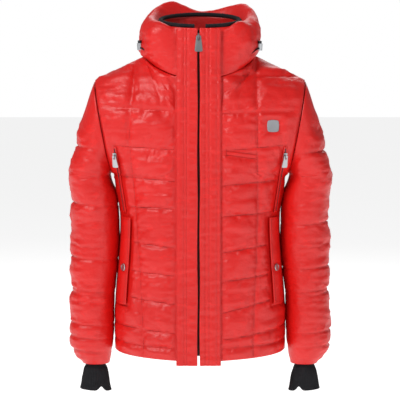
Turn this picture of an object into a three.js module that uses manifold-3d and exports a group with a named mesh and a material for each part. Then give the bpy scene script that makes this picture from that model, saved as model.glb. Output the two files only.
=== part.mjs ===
// Quilted ski jacket with a stowed hood, in millimetres, +Z up, front facing -Y.
// The origin is the hanger loop at the back of the neck, which the jacket hangs from.
import * as THREE from 'three';
import { mergeGeometries, mergeVertices } from 'three/addons/utils/BufferGeometryUtils.js';
import Module from 'manifold-3d';

const wasm = await Module();
wasm.setup();

// ---- Driving dimensions ----------------------------------------------------------------
const HEM_Z = -655; // bottom edge of the body
const HIP_Z = -560;
const WAIST_Z = -356;
const UNDERARM_Z = -268;
const CHEST_Z = -205;
const YOKE_Z = -130; // above this line the panels curve over to the neck and shoulder seams
const SHOULDER_Z = -58; // outer end of the shoulder seam
const NECK_FRONT_Z = -57;
const NECK_SIDE_Z = -5;
const HIP_HALF = 187; // half widths of the body
const WAIST_HALF = 174;
const UNDERARM_HALF = 190;
const SHOULDER_HALF = 231;
const NECK_HALF = 121;
const FRONT_TOP_Y = -88; // the front edge is straight in side view
const FRONT_TOP_Z = 58;
const FRONT_LEAN = 0.055; // how far forward the front comes for each mm down
const BACK_HEM_Y = 122;
const BACK_WAIST_Y = 104;
const BACK_BLADE_Y = 124;
const BACK_NECK_Y = 82;
const BODY_POWER = 2.6; // squareness of the body's cross-section
const SHELL = 2; // layer thicknesses, bulked as sewn
const WADDING = 5;
const LINING = 1.6;
const BAG = 1.8;
const GAP = 0.35; // clearance between pieces that touch
const SEAM = 0.5; // gap along a seam line

const SLEEVE_GAP = 8; // between hanging sleeve and body
const BICEP_WIDTH = 90;
const ELBOW_WIDTH = 94;
const FOREARM_WIDTH = 88;
const WRIST_WIDTH = 56;
const ARMHOLE_DEPTH = 80; // half depth, front to back
const BICEP_DEPTH = 76;
const FOREARM_DEPTH = 62;
const WRIST_DEPTH = 33;
const ELBOW_Z = -420;
const FOREARM_Z = -541; // seam round the forearm
const SLEEVE_END_Z = -686;
const FOREARM_FORWARD = 16;
const SLEEVE_WALL = 8;
const HINGE_R = 5; // sleeve's inner edge lies this far from the shoulder axis
const SWING_SECTOR = 0.75; // radians of sleeve that crease as it swings
const GAITER_WALL = 2.4;
const GAITER_TUCK = 16;
const GAITER_END_Z = -750;

const COLLAR_WALL = 2.4;
const COLLAR_BULGE = 16;
const COLLAR_TOP_BACK_Z = 84;
const COLLAR_TOP_FRONT_Z = 52;
const OPENING_HALF = 90; // bound opening at the collar's top
const OPENING_BACK_Y = 66;
const HOOD_RISE = 26; // hood bundle above the bound edge
const HOOD_THICK = 12;
const BINDING_WIDTH = 10;
const BINDING_THICK = 3;

const ZIP_X = -3; // centre line of the front
const ZIP_SLOT = 3; // half the slot that the puller passes through
const PLACKET_WIDTH = 45;
const PLACKET_THICK = 3;
const PLACKET_DROP = 16; // placket tips below the hem
const CHAIN_HALF = 2.9;
const CHAIN_THICK = 2.2;
const TAPE_WIDTH = 14;
const TAPE_THICK = 1;
const SLIDER_WIDTH = 11;
const SLIDER_LENGTH = 15;
const SLIDER_PLATE = 1.4;
const PULL_LENGTH = 33;
const PULL_TOP = 10;
const PULL_END = 17;
const PULL_THICK = 1.8;
const SLIDER_Z = 34; // closed position of the main slider

const POCKET_TOP_Z = -206;
const POCKET_LENGTH = 140;
const POCKET_SCALE = 0.78; // small slider against the main one
const FLAP_TOP_Z = -356;
const FLAP_LENGTH = 190;
const FLAP_THICK = 2;
const SNAP_R = 8.5;
const SNAP_DROP = 110; // snap below the flap's top
const STUD_R = 2.4;
const WELT_LENGTH = 66;
const BADGE_SIZE = 26;
const CORD_R = 1.5;
const LOCK_R = 6.5;
const LOCK_LENGTH = 15;
const PLUNGER_TRAVEL = 3;
const LOOP_WIDTH = 9;
const LOOP_SPAN = 64;

// ---- Shape helpers ---------------------------------------------------------------------
const V = (x, y, z) => new THREE.Vector3(x, y, z);
const lerp = (a, b, t) => a + (b - a) * t;
const clamp01 = (t) => Math.min(1, Math.max(0, t));
const smooth = (t) => clamp01(t) ** 2 * (3 - 2 * clamp01(t));
const signedPower = (c, p) => Math.sign(c) * Math.abs(c) ** p;

function bezier(a, b, c, d, w) {
  const mix = (key) => (1 - w) ** 3 * a[key] + 3 * (1 - w) ** 2 * w * b[key]
    + 3 * (1 - w) * w * w * c[key] + w ** 3 * d[key];
  return V(mix('x'), mix('y'), mix('z'));
}

// Smooth function through [place, value] stations, listed with falling places.
function through(stations) {
  const slope = (i) => {
    const a = stations[Math.max(0, i - 1)];
    const b = stations[Math.min(stations.length - 1, i + 1)];
    return (b[1] - a[1]) / (b[0] - a[0]);
  };
  return (place) => {
    let i = 0;
    while (i < stations.length - 2 && place < stations[i + 1][0]) i += 1;
    const [a, b] = [stations[i], stations[i + 1]];
    const span = b[0] - a[0];
    const t = clamp01((place - a[0]) / span);
    const rise = (1 - t) ** 2 * t * slope(i) * span - (1 - t) * t * t * slope(i + 1) * span;
    return lerp(a[1], b[1], t * t * (3 - 2 * t)) + rise;
  };
}

function closedGeometry(geometry) {
  const bare = geometry.clone();
  bare.deleteAttribute('normal');
  bare.deleteAttribute('uv');
  return mergeVertices(bare, 1e-4);
}

function signedVolume(geometry) {
  const p = geometry.attributes.position;
  const ix = geometry.index.array;
  const corner = (i) => new THREE.Vector3().fromBufferAttribute(p, ix[i]);
  let total = 0;
  for (let i = 0; i < ix.length; i += 3) {
    total += corner(i).dot(corner(i + 1).cross(corner(i + 2)));
  }
  return total;
}

function facingOut(geometry) {
  if (signedVolume(geometry) > 0) return geometry;
  const ix = geometry.index.array;
  for (let i = 0; i < ix.length; i += 3) [ix[i], ix[i + 1]] = [ix[i + 1], ix[i]];
  return geometry;
}

// A closed bent slab: six planes whose (u, v, t) in 0..1 are mapped by place(u, v, t). The
// two broad faces are cut into triangles alike, so that stacked slabs lie face to face.
function slab(place, nu, nv) {
  const wall = (na, nb, toUvt, flip) => {
    const plane = closedGeometry(new THREE.PlaneGeometry(1, 1, na, nb));
    const p = plane.attributes.position;
    for (let i = 0; i < p.count; i += 1) {
      const q = place(...toUvt(p.getX(i) + 0.5, p.getY(i) + 0.5));
      p.setXYZ(i, q.x, q.y, q.z);
    }
    if (flip) plane.index.array.reverse();
    return plane;
  };
  return facingOut(mergeVertices(mergeGeometries([
    wall(nu, nv, (a, b) => [a, b, 0], true),
    wall(nu, nv, (a, b) => [a, b, 1], false),
    wall(nu, 1, (a, b) => [a, 0, b], false),
    wall(nu, 1, (a, b) => [a, 1, b], true),
    wall(nv, 1, (a, b) => [0, a, b], true),
    wall(nv, 1, (a, b) => [1, a, b], false),
  ]), 1e-4));
}

// A ring: around runs 0..1 and closes, along runs 0..1, t runs 0..1 through the wall.
function ring(place, around, along) {
  const profile = [];
  for (let i = 0; i <= along; i += 1) profile.push(new THREE.Vector2(2, i));
  for (let i = along; i >= 0; i -= 1) profile.push(new THREE.Vector2(1, i));
  profile.push(profile[0].clone());
  const lathe = closedGeometry(new THREE.LatheGeometry(profile, around));
  const p = lathe.attributes.position;
  for (let i = 0; i < p.count; i += 1) {
    const turn = Math.atan2(p.getX(i), p.getZ(i)) / (2 * Math.PI);
    const t = 2 - Math.hypot(p.getX(i), p.getZ(i));
    const q = place(turn, p.getY(i) / along, t);
    p.setXYZ(i, q.x, q.y, q.z);
  }
  return facingOut(lathe);
}

function toSolid(geometry) {
  const bare = closedGeometry(geometry);
  return new wasm.Manifold(new wasm.Mesh({
    numProp: 3,
    vertProperties: new Float32Array(bare.attributes.position.array),
    triVerts: new Uint32Array(bare.index.array),
  }));
}

function fromSolid(solid) {
  const mesh = solid.getMesh();
  const geometry = new THREE.BufferGeometry();
  geometry.setAttribute('position', new THREE.BufferAttribute(mesh.vertProperties.slice(), 3));
  geometry.setIndex(new THREE.BufferAttribute(mesh.triVerts.slice(), 1));
  return geometry;
}

const join = (a, ...rest) => fromSolid(rest.reduce((s, g) => s.add(toSolid(g)), toSolid(a)));
const cut = (a, ...rest) => fromSolid(rest.reduce((s, g) => s.subtract(toSolid(g)), toSolid(a)));
const block = (w, d, h, x = 0, y = 0, z = 0) => new THREE.BoxGeometry(w, d, h).translate(x, y, z);

// ---- The garment's surfaces, made for the +X side and mirrored by side = -1 ---------------
const frontY = (z) => FRONT_TOP_Y - FRONT_LEAN * (FRONT_TOP_Z - z);
const backY = through([
  [0, BACK_NECK_Y], [CHEST_Z, BACK_BLADE_Y], [WAIST_Z, BACK_WAIST_Y], [HEM_Z, BACK_HEM_Y],
]);
const bodyHalf = through([
  [UNDERARM_Z, UNDERARM_HALF], [WAIST_Z, WAIST_HALF], [HIP_Z, HIP_HALF], [HEM_Z, HIP_HALF],
]);
const SIDE_Y = 4;
const shoulderTip = V(SHOULDER_HALF, SIDE_Y, SHOULDER_Z);
const swingAxis = V(UNDERARM_HALF + HINGE_R, SIDE_Y, UNDERARM_Z);
const armTurn = Math.atan2(SHOULDER_Z - UNDERARM_Z, SHOULDER_HALF - swingAxis.x);
const armReach = Math.hypot(SHOULDER_Z - UNDERARM_Z, SHOULDER_HALF - swingAxis.x);
const ARM_POWER = 2.2;
const SHOULDER_FALL = 3.85; // how fast the sleeve head narrows below the shoulder

// A sleeve section: phi 0 is the outer edge, a quarter turn is the front, off is inward.
function sectionPoint(inner, outer, depth, forward, phi, off) {
  const half = (outer - inner) / 2 - off;
  const across = (outer + inner) / 2 + half * signedPower(Math.cos(phi), 2 / ARM_POWER);
  const y = SIDE_Y - forward - (depth - off) * signedPower(Math.sin(phi), 2 / ARM_POWER);
  return { across, y };
}

function headPoint(turn, phi, off) {
  const reach = BICEP_WIDTH + (armReach - BICEP_WIDTH) * (turn / armTurn) ** SHOULDER_FALL;
  const depth = lerp(BICEP_DEPTH, ARMHOLE_DEPTH, turn / armTurn);
  const { across, y } = sectionPoint(HINGE_R, reach, depth, 0, phi, off);
  return V(swingAxis.x + across * Math.cos(turn), y, swingAxis.z + across * Math.sin(turn));
}

const sleeveInner = through([
  [UNDERARM_Z, swingAxis.x + HINGE_R], [UNDERARM_Z - 70, WAIST_HALF + SLEEVE_GAP + 5],
  [ELBOW_Z, bodyHalf(ELBOW_Z) + SLEEVE_GAP],
  [FOREARM_Z, HIP_HALF + SLEEVE_GAP], [SLEEVE_END_Z + 60, HIP_HALF + SLEEVE_GAP + 2],
  [SLEEVE_END_Z, HIP_HALF + SLEEVE_GAP + (FOREARM_WIDTH - WRIST_WIDTH) / 3],
]);
const sleeveWidth = through([
  [UNDERARM_Z, BICEP_WIDTH - HINGE_R], [ELBOW_Z, ELBOW_WIDTH + 4], [FOREARM_Z, FOREARM_WIDTH],
  [SLEEVE_END_Z + 46, FOREARM_WIDTH], [SLEEVE_END_Z, WRIST_WIDTH],
]);
const sleeveDepth = through([
  [UNDERARM_Z, BICEP_DEPTH], [ELBOW_Z, BICEP_DEPTH - 6], [FOREARM_Z, FOREARM_DEPTH],
  [SLEEVE_END_Z + 46, FOREARM_DEPTH - 8], [SLEEVE_END_Z, WRIST_DEPTH],
]);
const sleeveForward = through([
  [UNDERARM_Z, 0], [ELBOW_Z, -2], [FOREARM_Z, FOREARM_FORWARD / 2], [SLEEVE_END_Z, FOREARM_FORWARD],
]);

function tubePoint(z, phi, off) {
  const inner = sleeveInner(z);
  const outer = inner + sleeveWidth(z);
  const { across, y } = sectionPoint(inner, outer, sleeveDepth(z), sleeveForward(z), phi, off);
  return V(across, y, z);
}

const AROUND = 14; // facets round a sleeve
const mirrored = (p, side) => V(p.x * side, p.y, p.z);
const sleeveHead = (side, from, to) => ring((turn, along, t) => mirrored(
  headPoint(lerp(from, to, along), turn * 2 * Math.PI, t * SLEEVE_WALL), side,
), AROUND, 2);
const sleeveTube = (side, from, to, rows) => ring((turn, along, t) => mirrored(
  tubePoint(lerp(from, to, along), turn * 2 * Math.PI, t * SLEEVE_WALL), side,
), AROUND, rows);

// Neck seam, alpha 0 at the centre front and pi at the centre back.
function neckSeam(alpha) {
  const c = Math.cos(alpha);
  const y = c > 0 ? lerp(SIDE_Y - 8, frontY(NECK_FRONT_Z), c) : lerp(SIDE_Y - 8, BACK_NECK_Y, -c);
  const z = c > 0 ? lerp(NECK_SIDE_Z, NECK_FRONT_Z, c ** 1.4) : lerp(NECK_SIDE_Z, 0, -c);
  return V(NECK_HALF * Math.sin(alpha), y, z);
}
const neckPoint = neckSeam(Math.PI / 2);

// Where a height meets the armhole seam, as the sleeve section's phi.
function armholePhi(z) {
  const lift = ((z - UNDERARM_Z) / Math.sin(armTurn) - HINGE_R) / (armReach - HINGE_R);
  return Math.acos(signedPower(2 * clamp01(lift) - 1, ARM_POWER / 2));
}
const NECK_SHARE = 0.52; // share of a panel's top that is neck seam, the rest is shoulder
const YOKE_SHARE = 0.82; // share of a panel's grid that is below the yoke line

function rowPoint(face, startX, u, z) {
  const depth = face > 0 ? SIDE_Y - frontY(z) : backY(z) - SIDE_Y;
  let side = V(bodyHalf(z), SIDE_Y, z);
  if (z > UNDERARM_Z) {
    side = headPoint(armTurn, armholePhi(z), 0);
    side.x = lerp(UNDERARM_HALF, side.x, clamp01((z - UNDERARM_Z) / SLEEVE_GAP));
  }
  const inset = Math.abs(side.y - SIDE_Y);
  const width = side.x / (1 - (inset / depth) ** BODY_POWER) ** (1 / BODY_POWER);
  const start = Math.atan2(startX, depth);
  const end = Math.atan2(side.x, inset);
  const phi = lerp(start, end, u);
  const sum = (Math.cos(phi) / depth) ** BODY_POWER + (Math.sin(phi) / width) ** BODY_POWER;
  const r = sum ** (-1 / BODY_POWER);
  return V(r * Math.sin(phi), SIDE_Y - face * r * Math.cos(phi), z);
}

function topPoint(face, startX, u) {
  const first = Math.asin(startX / NECK_HALF);
  if (u <= NECK_SHARE) {
    const alpha = lerp(first, Math.PI / 2, u / NECK_SHARE);
    return neckSeam(face > 0 ? alpha : Math.PI - alpha);
  }
  return neckPoint.clone().lerp(shoulderTip, (u - NECK_SHARE) / (1 - NECK_SHARE));
}

// Outer surface of half a panel. face is 1 in front and -1 behind, u runs from the centre
// to the side, v from the hem to the neck and shoulder seams.
function panelPoint(face, startX, u, v) {
  if (v <= YOKE_SHARE) return rowPoint(face, startX, u, lerp(HEM_Z, YOKE_Z, v / YOKE_SHARE));
  const w = (v - YOKE_SHARE) / (1 - YOKE_SHARE);
  const low = rowPoint(face, startX, u, YOKE_Z);
  const high = topPoint(face, startX, u);
  const g = smooth(u / 0.8);
  const rise = (SHOULDER_Z - YOKE_Z) / 3;
  const c1 = low.clone().add(V(0, FRONT_LEAN * rise * face, lerp(rise, 1.6 * rise, g)));
  const c2 = high.clone().add(V(0, -face * lerp(face > 0 ? 1.3 : 10, 44, g), lerp(-rise, -6, g)));
  const p = bezier(low, c1, c2, high, w);
  const arm = headPoint(armTurn, lerp(armholePhi(YOKE_Z), 0, w), 0);
  arm.y = SIDE_Y + face * (arm.y - SIDE_Y);
  const edgeLow = rowPoint(face, startX, 1, YOKE_Z);
  const edgeC1 = edgeLow.clone().add(V(0, FRONT_LEAN * rise * face, 1.6 * rise));
  const edgeC2 = shoulderTip.clone().add(V(0, -face * 44, -6));
  const edge = bezier(edgeLow, edgeC1, edgeC2, shoulderTip, w);
  return p.add(arm.sub(edge).multiplyScalar(smooth((u - 0.45) / 0.55)));
}

// The panel's surface moved inward by off, with half a seam gap left along shared edges.
function panelAt(face, startX, u, v, off) {
  const step = 1e-3;
  const [u0, u1] = [Math.max(0, u - step), Math.min(1, u + step)];
  const [v0, v1] = [Math.max(0, v - step), Math.min(1, v + step)];
  const du = panelPoint(face, startX, u1, v).sub(panelPoint(face, startX, u0, v));
  const dv = panelPoint(face, startX, u, v1).sub(panelPoint(face, startX, u, v0));
  const inward = dv.cross(du).multiplyScalar(face);
  const onShoulder = v > 1 - step && u >= NECK_SHARE;
  const onSide = u > 1 - step && v < YOKE_SHARE;
  if (onShoulder || onSide) inward.y *= 0.02;
  inward.normalize();
  const p = panelPoint(face, startX, u, v).addScaledVector(inward, off);
  p.y -= face * SEAM / 2 * (onShoulder ? 1 : u ** 6);
  p.x -= SEAM * u ** 6;
  if (v > 1 - step) p.z -= SEAM / 2;
  return p;
}

const LEFT_START = ZIP_SLOT - ZIP_X;
const RIGHT_START = ZIP_SLOT + ZIP_X;
const startOf = (side) => (side > 0 ? RIGHT_START : LEFT_START);

const COLUMNS = 7; // all layers share one grid, so that their facets lie parallel
const ROWS = 11;
function frontLayer(side, off, thick, fromColumn, toColumn = COLUMNS, fromRow = 0, toRow = ROWS) {
  return slab((u, v, t) => {
    const across = lerp(fromColumn, toColumn, u) / COLUMNS;
    const up = lerp(fromRow, toRow, v) / ROWS;
    return mirrored(panelAt(1, startOf(side), across, up, off + t * thick), side);
  }, toColumn - fromColumn, toRow - fromRow);
}
function backLayer(off, thick) {
  return slab((u, v, t) => {
    const s = 2 * u - 1;
    return mirrored(panelAt(-1, 0, Math.abs(s), v, off + t * thick), Math.sign(s) || 1);
  }, 2 * COLUMNS, ROWS);
}

// ---- Collar ------------------------------------------------------------------------------
function openingPoint(alpha) {
  const c = Math.cos(alpha);
  const y = c > 0 ? lerp(SIDE_Y - 12, frontY(COLLAR_TOP_FRONT_Z), c) : lerp(SIDE_Y - 12, OPENING_BACK_Y, -c);
  const z = (COLLAR_TOP_BACK_Z + COLLAR_TOP_FRONT_Z) / 2 - (COLLAR_TOP_BACK_Z - COLLAR_TOP_FRONT_Z) / 2 * c;
  return V(OPENING_HALF * Math.sin(alpha), y, z);
}
const FRONT_FLAT = 0.42; // radians beside the zip where the collar stays flat
const collarFullness = (alpha) => smooth((alpha - FRONT_FLAT) / 0.6);
const radial = (alpha) => V(Math.sin(alpha), -Math.cos(alpha), 0);

function collarPoint(alpha, v) {
  const base = neckSeam(alpha).add(V(0, 0, 3 * SEAM));
  const top = openingPoint(alpha);
  const full = collarFullness(alpha);
  const third = (top.z - base.z) / 3;
  const c1 = base.clone().lerp(top, 1 / 3).addScaledVector(radial(alpha), full * COLLAR_BULGE * 1.6);
  const c2 = base.clone().lerp(top, 2 / 3).addScaledVector(radial(alpha), full * COLLAR_BULGE * 1.9);
  c2.z += full * (HOOD_RISE + third);
  return bezier(base, c1, c2, top, v);
}

// s runs from the left front edge (-1) round the back (0) to the right front edge (1).
function collarAt(s, v, off, point = collarPoint) {
  const side = Math.sign(s) || 1;
  const startX = startOf(side);
  const first = Math.asin(startX / NECK_HALF);
  const alpha = Math.PI - Math.abs(s) * (Math.PI - first);
  const step = 1e-3;
  const da = point(alpha + step, v).sub(point(alpha - step, v));
  const dv = point(alpha, Math.min(1, v + step)).sub(point(alpha, Math.max(0, v - step)));
  const inward = dv.cross(da).normalize();
  const p = point(alpha, v).addScaledVector(inward, off);
  p.x += (startX - point(first, v).x) * (1 - smooth(alpha / 0.5));
  return mirrored(p, side);
}

function liningPoint(alpha, v) {
  const base = neckSeam(alpha).add(V(0, 0, 3 * SEAM)).addScaledVector(radial(alpha), -COLLAR_WALL - GAP);
  const top = openingPoint(alpha).addScaledVector(radial(alpha), -COLLAR_WALL - GAP);
  return base.lerp(top, v);
}

const COLLAR_STEPS = 20;
const collarShell = () => slab(
  (u, v, t) => collarAt(2 * u - 1, v, t * COLLAR_WALL), COLLAR_STEPS, COLLAR_ROWS,
);
const LINING_STEPS = COLLAR_STEPS - 2; // the lining stops a step short of the zip on each side
const liningShare = LINING_STEPS / COLLAR_STEPS;
const collarLining = () => slab(
  (u, v, t) => collarAt((2 * u - 1) * liningShare, v, t * LINING, liningPoint), LINING_STEPS, 2,
);
const HOOD_STEPS = COLLAR_STEPS - 6;
const COLLAR_ROWS = 5;
function hoodRoll() {
  const [low, high] = [1 / COLLAR_ROWS, (COLLAR_ROWS - 1) / COLLAR_ROWS];
  return slab((u, v, t) => {
    const s = (2 * u - 1) * HOOD_STEPS / COLLAR_STEPS;
    const w = lerp(low, high, v);
    const outer = collarAt(s, w, COLLAR_WALL + GAP);
    const inner = collarAt(s, w, -GAP, liningPoint);
    const reach = Math.min(0.7, HOOD_THICK / outer.distanceTo(inner));
    return outer.lerp(inner, t * reach);
  }, HOOD_STEPS, COLLAR_ROWS - 2);
}
function collarBinding() {
  const [first, last] = [-0.955, 0.955];
  return slab((u, v, t) => {
    const s = lerp(first, last, u);
    const side = Math.sign(s) || 1;
    const alpha = Math.PI - Math.abs(s) * Math.PI;
    const p = openingPoint(alpha);
    p.addScaledVector(radial(alpha), lerp(1, 1 - BINDING_WIDTH, v));
    p.z += GAP * 4 + t * BINDING_THICK;
    return mirrored(p, side);
  }, COLLAR_STEPS, 1);
}

// ---- Front closure: local axes x across, y into the body, z up the zip --------------------
const COLLAR_DIP = 5; // how far the plackets' outer edges curve back over the collar
const topZ = COLLAR_TOP_FRONT_Z;
function frontStrip(x0, x1, offA, offB, z0, z1, rows) {
  return slab((u, v, t) => {
    const z = lerp(z0, z1, v);
    const x = lerp(x0, x1, u);
    const away = Math.abs(x) / (ZIP_SLOT + PLACKET_WIDTH);
    const dip = lerp(0.8, COLLAR_DIP, smooth((z - NECK_FRONT_Z + 30) / 70)) * away * away;
    return V(ZIP_X + x, frontY(z) + dip + lerp(offA, offB, t), z);
  }, 3, rows);
}
const placket = (side) => frontStrip(
  side * ZIP_SLOT, side * (ZIP_SLOT + PLACKET_WIDTH),
  -2 * GAP - PLACKET_THICK, -2 * GAP, HEM_Z - PLACKET_DROP, topZ, 10,
);
const CHAIN_OFF = 5;
const TAPE_OFF = CHAIN_OFF + CHAIN_THICK - TAPE_THICK;
const ZIP_TOP = topZ - 8;
const ZIP_BOTTOM = HEM_Z + 4;
const chain = (side) => frontStrip(
  side * GAP / 2, side * CHAIN_HALF, CHAIN_OFF, CHAIN_OFF + CHAIN_THICK,
  ZIP_BOTTOM + 14, ZIP_TOP, 8,
);
const tape = (side) => frontStrip(
  side * (CHAIN_HALF + GAP), side * (CHAIN_HALF + TAPE_WIDTH), TAPE_OFF, TAPE_OFF + TAPE_THICK,
  ZIP_BOTTOM, ZIP_TOP, 8,
);
const WIND_FROM = -17;
const WIND_TO = 17;
const WADDING_OFF = SHELL + GAP;
const BAG_OFF = WADDING_OFF + WADDING + GAP;
const LINING_OFF = BAG_OFF + BAG + GAP;
const WIND_OFF = CHAIN_OFF + CHAIN_THICK + GAP;
const windFlap = () => frontStrip(WIND_FROM, WIND_TO, WIND_OFF, WIND_OFF + LINING, ZIP_BOTTOM, topZ - 4, 8);

// A channel that rides on the chain, with an arch that the puller hangs on. Local origin is
// on the chain's face; z is up the zip and y is into the garment.
const ARCH_BAR = 1.9;
const ARCH_HOLE = 3.6;
function sliderGeometry(scale, archOut) {
  const [w, l, plate] = [SLIDER_WIDTH * scale, SLIDER_LENGTH * scale, SLIDER_PLATE * scale];
  const chainHalf = CHAIN_HALF * scale + GAP;
  const flange = CHAIN_THICK * scale * 0.4;
  const body = block(w, plate, l, 0, -GAP - plate / 2);
  const flangeWidth = w / 2 - chainHalf;
  const flangeAt = chainHalf + flangeWidth / 2;
  const flanges = [-1, 1].map((side) => block(
    flangeWidth, flange + GAP + 0.1, l * 0.8, side * flangeAt, (flange - GAP - 0.1) / 2,
  ));
  const neckWidth = 3.4 * scale;
  const outer = archOut + (ARCH_HOLE / 2 + ARCH_BAR) * scale;
  const height = (ARCH_HOLE + 2 * ARCH_BAR) * scale;
  const arch = block(neckWidth, outer - plate / 2, height, 0, -GAP - plate / 2 - (outer - plate / 2) / 2);
  const hole = block(neckWidth * 2, ARCH_HOLE * scale, ARCH_HOLE * scale, 0, -GAP - archOut);
  return cut(join(body, ...flanges, arch), hole);
}

// A flared puller with a window at its head. Its pivot is the local origin.
function pullGeometry(scale) {
  const half = (PULL_TOP / 2) * scale;
  const endHalf = (PULL_END / 2) * scale;
  const thick = PULL_THICK * scale;
  const bar = ARCH_BAR * scale * 0.55;
  const length = PULL_LENGTH * scale;
  const outline = new THREE.Shape();
  outline.moveTo(-half, bar);
  outline.lineTo(-endHalf, -length + 4 * scale);
  outline.quadraticCurveTo(-endHalf, -length, -endHalf + 4 * scale, -length);
  outline.lineTo(endHalf - 4 * scale, -length);
  outline.quadraticCurveTo(endHalf, -length, endHalf, -length + 4 * scale);
  outline.lineTo(half, bar);
  const windowHalf = 2.6 * scale;
  const window = new THREE.Path();
  window.moveTo(-windowHalf, -bar);
  window.lineTo(windowHalf, -bar);
  window.lineTo(windowHalf, -9 * scale);
  window.lineTo(-windowHalf, -9 * scale);
  outline.holes.push(window);
  const plate = new THREE.ExtrudeGeometry(outline, { depth: thick, bevelEnabled: false, curveSegments: 3 });
  return plate.translate(0, 0, -thick / 2).rotateX(Math.PI / 2);
}

// ---- Trim on the front panels, placed by x and z -----------------------------------------
function onFront(side, x, z, off) {
  const v = YOKE_SHARE * (z - HEM_Z) / (YOKE_Z - HEM_Z);
  let [low, high] = [0, 1];
  for (let i = 0; i < 24; i += 1) {
    const u = (low + high) / 2;
    if (panelPoint(1, startOf(side), u, v).x < x) low = u;
    else high = u;
  }
  return mirrored(panelAt(1, startOf(side), low, v, off), side);
}
const trimPatch = (side, xAt, [z0, z1], offAt, nu, nv) => slab((u, v, t) => {
  const z = lerp(z0, z1, v);
  return onFront(side, xAt(u, z), z, offAt(u, t));
}, nu, nv);

// Axes at a place on a front panel: x across, y into the garment, z towards the point above.
function frameBetween(place, above, inwardPoint) {
  const up = above.clone().sub(place).normalize();
  const right = inwardPoint.clone().sub(place).cross(up).normalize();
  const inward = up.clone().cross(right).normalize();
  return new THREE.Matrix4().makeBasis(right, inward, up).setPosition(place);
}

const POCKET_TOP_X = 184;
const POCKET_LOW_X = 163;
const POCKET_STRIP = 11;
const STRIP_THICK = 1.5;
const pocketX = (z) => lerp(POCKET_TOP_X, POCKET_LOW_X, (POCKET_TOP_Z - z) / POCKET_LENGTH);
const pocketStrip = (side) => trimPatch(
  side, (u, z) => pocketX(z) + (u - 0.5) * POCKET_STRIP * 0.7,
  [POCKET_TOP_Z + 4, POCKET_TOP_Z - POCKET_LENGTH],
  (u, t) => -5 * GAP - t * STRIP_THICK, 2, 8,
);
const BAG_COLUMNS = [2, COLUMNS - 1];
const BAG_ROWS = [4, 8];
const pocketBag = (side) => frontLayer(side, BAG_OFF, BAG, ...BAG_COLUMNS, ...BAG_ROWS);
function pocketFrame(side) {
  const stand = -5 * GAP - STRIP_THICK - 1.6;
  const [z0, z1] = [POCKET_TOP_Z - 14, POCKET_TOP_Z - POCKET_LENGTH + 14];
  const high = onFront(side, pocketX(z0), z0, stand);
  const low = onFront(side, pocketX(z1), z1, stand);
  const above = high.clone().add(high.clone().sub(low));
  return frameBetween(high, above, onFront(side, pocketX(z0), z0, stand + 10));
}

const FLAP_FREE = 0.845; // share of the body's half width
const FLAP_SEWN = 0.985;
const FLAP_LIFT = 4; // room for the snap under the free edge
const flapX = (u, z) => lerp(FLAP_FREE, FLAP_SEWN, u) * bodyHalf(z);
const flapOff = (u) => -3 * GAP - FLAP_LIFT * smooth((1 - u) / 0.55);
function flapHinge(side) {
  const at = (z) => onFront(side, flapX(1, z), z, -GAP - 4);
  const [top, bottom] = [at(FLAP_TOP_Z), at(FLAP_TOP_Z - FLAP_LENGTH)];
  const low = FLAP_TOP_Z - FLAP_LENGTH;
  return frameBetween(bottom, top, onFront(side, flapX(1, low), low, 10));
}
const flap = (side) => trimPatch(
  side, flapX, [FLAP_TOP_Z, FLAP_TOP_Z - FLAP_LENGTH], (u, t) => flapOff(u) - t * FLAP_THICK, 5, 8,
);
const SNAP_SHARE = 0.4;
function snapFrame(side) {
  const z = FLAP_TOP_Z - SNAP_DROP;
  const x = flapX(SNAP_SHARE, z);
  return frameBetween(onFront(side, x, z, 0), onFront(side, x, z + 4, 0), onFront(side, x, z, 6));
}
const disc = (points) => new THREE.LatheGeometry(points.map(([r, y]) => new THREE.Vector2(r, y)), 12);
const SNAP_CLEAR = 0.9;
const STUD_BASE = 1;
const BALL_TOP = GAP + STUD_BASE + 1.2;
const SOCKET_LOW = GAP + FLAP_LIFT - SNAP_CLEAR;
const SOCKET_THICK = 1.3;
const CAP_LOW = GAP + FLAP_LIFT + FLAP_THICK + SNAP_CLEAR;
const CAP_THICK = 1.6;
const stud = () => disc([
  [0, -BALL_TOP], [STUD_R, -BALL_TOP], [STUD_R, -GAP - STUD_BASE], [SNAP_R * 0.7, -GAP - STUD_BASE],
  [SNAP_R * 0.7, -GAP], [0, -GAP],
]);
const socket = () => disc([
  [STUD_R + 0.9, -SOCKET_LOW], [SNAP_R * 0.75, -SOCKET_LOW], [SNAP_R * 0.75, -SOCKET_LOW + SOCKET_THICK],
  [STUD_R + 0.9, -SOCKET_LOW + SOCKET_THICK], [STUD_R + 0.9, -SOCKET_LOW],
]);
const cap = () => disc([
  [0, -CAP_LOW - CAP_THICK * 0.8], [SNAP_R * 0.5, -CAP_LOW - CAP_THICK * 0.7],
  [SNAP_R * 0.7, -CAP_LOW - CAP_THICK],
  [SNAP_R * 0.9, -CAP_LOW - CAP_THICK * 0.9], [SNAP_R, -CAP_LOW - CAP_THICK * 0.4],
  [SNAP_R, -CAP_LOW], [0, -CAP_LOW],
]);

const WELT_X = 56;
const WELT_Z = -214;
const WELT_FALL = 9;
const WELT_HEIGHT = 7;
const chestWelt = () => slab((u, v, t) => {
  const x = WELT_X + u * WELT_LENGTH;
  const z = WELT_Z - u * WELT_FALL + (v - 0.5) * WELT_HEIGHT;
  return onFront(1, x, z, -GAP - t * 1.4);
}, 5, 1);
const BADGE_X = 157;
const BADGE_Z = -157;
const badge = () => slab((u, v, t) => {
  const half = BADGE_SIZE / 2;
  const x = BADGE_X + (2 * u - 1) * half;
  return onFront(1, x, BADGE_Z + (2 * v - 1) * half, -GAP - t);
}, 4, 4);

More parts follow.
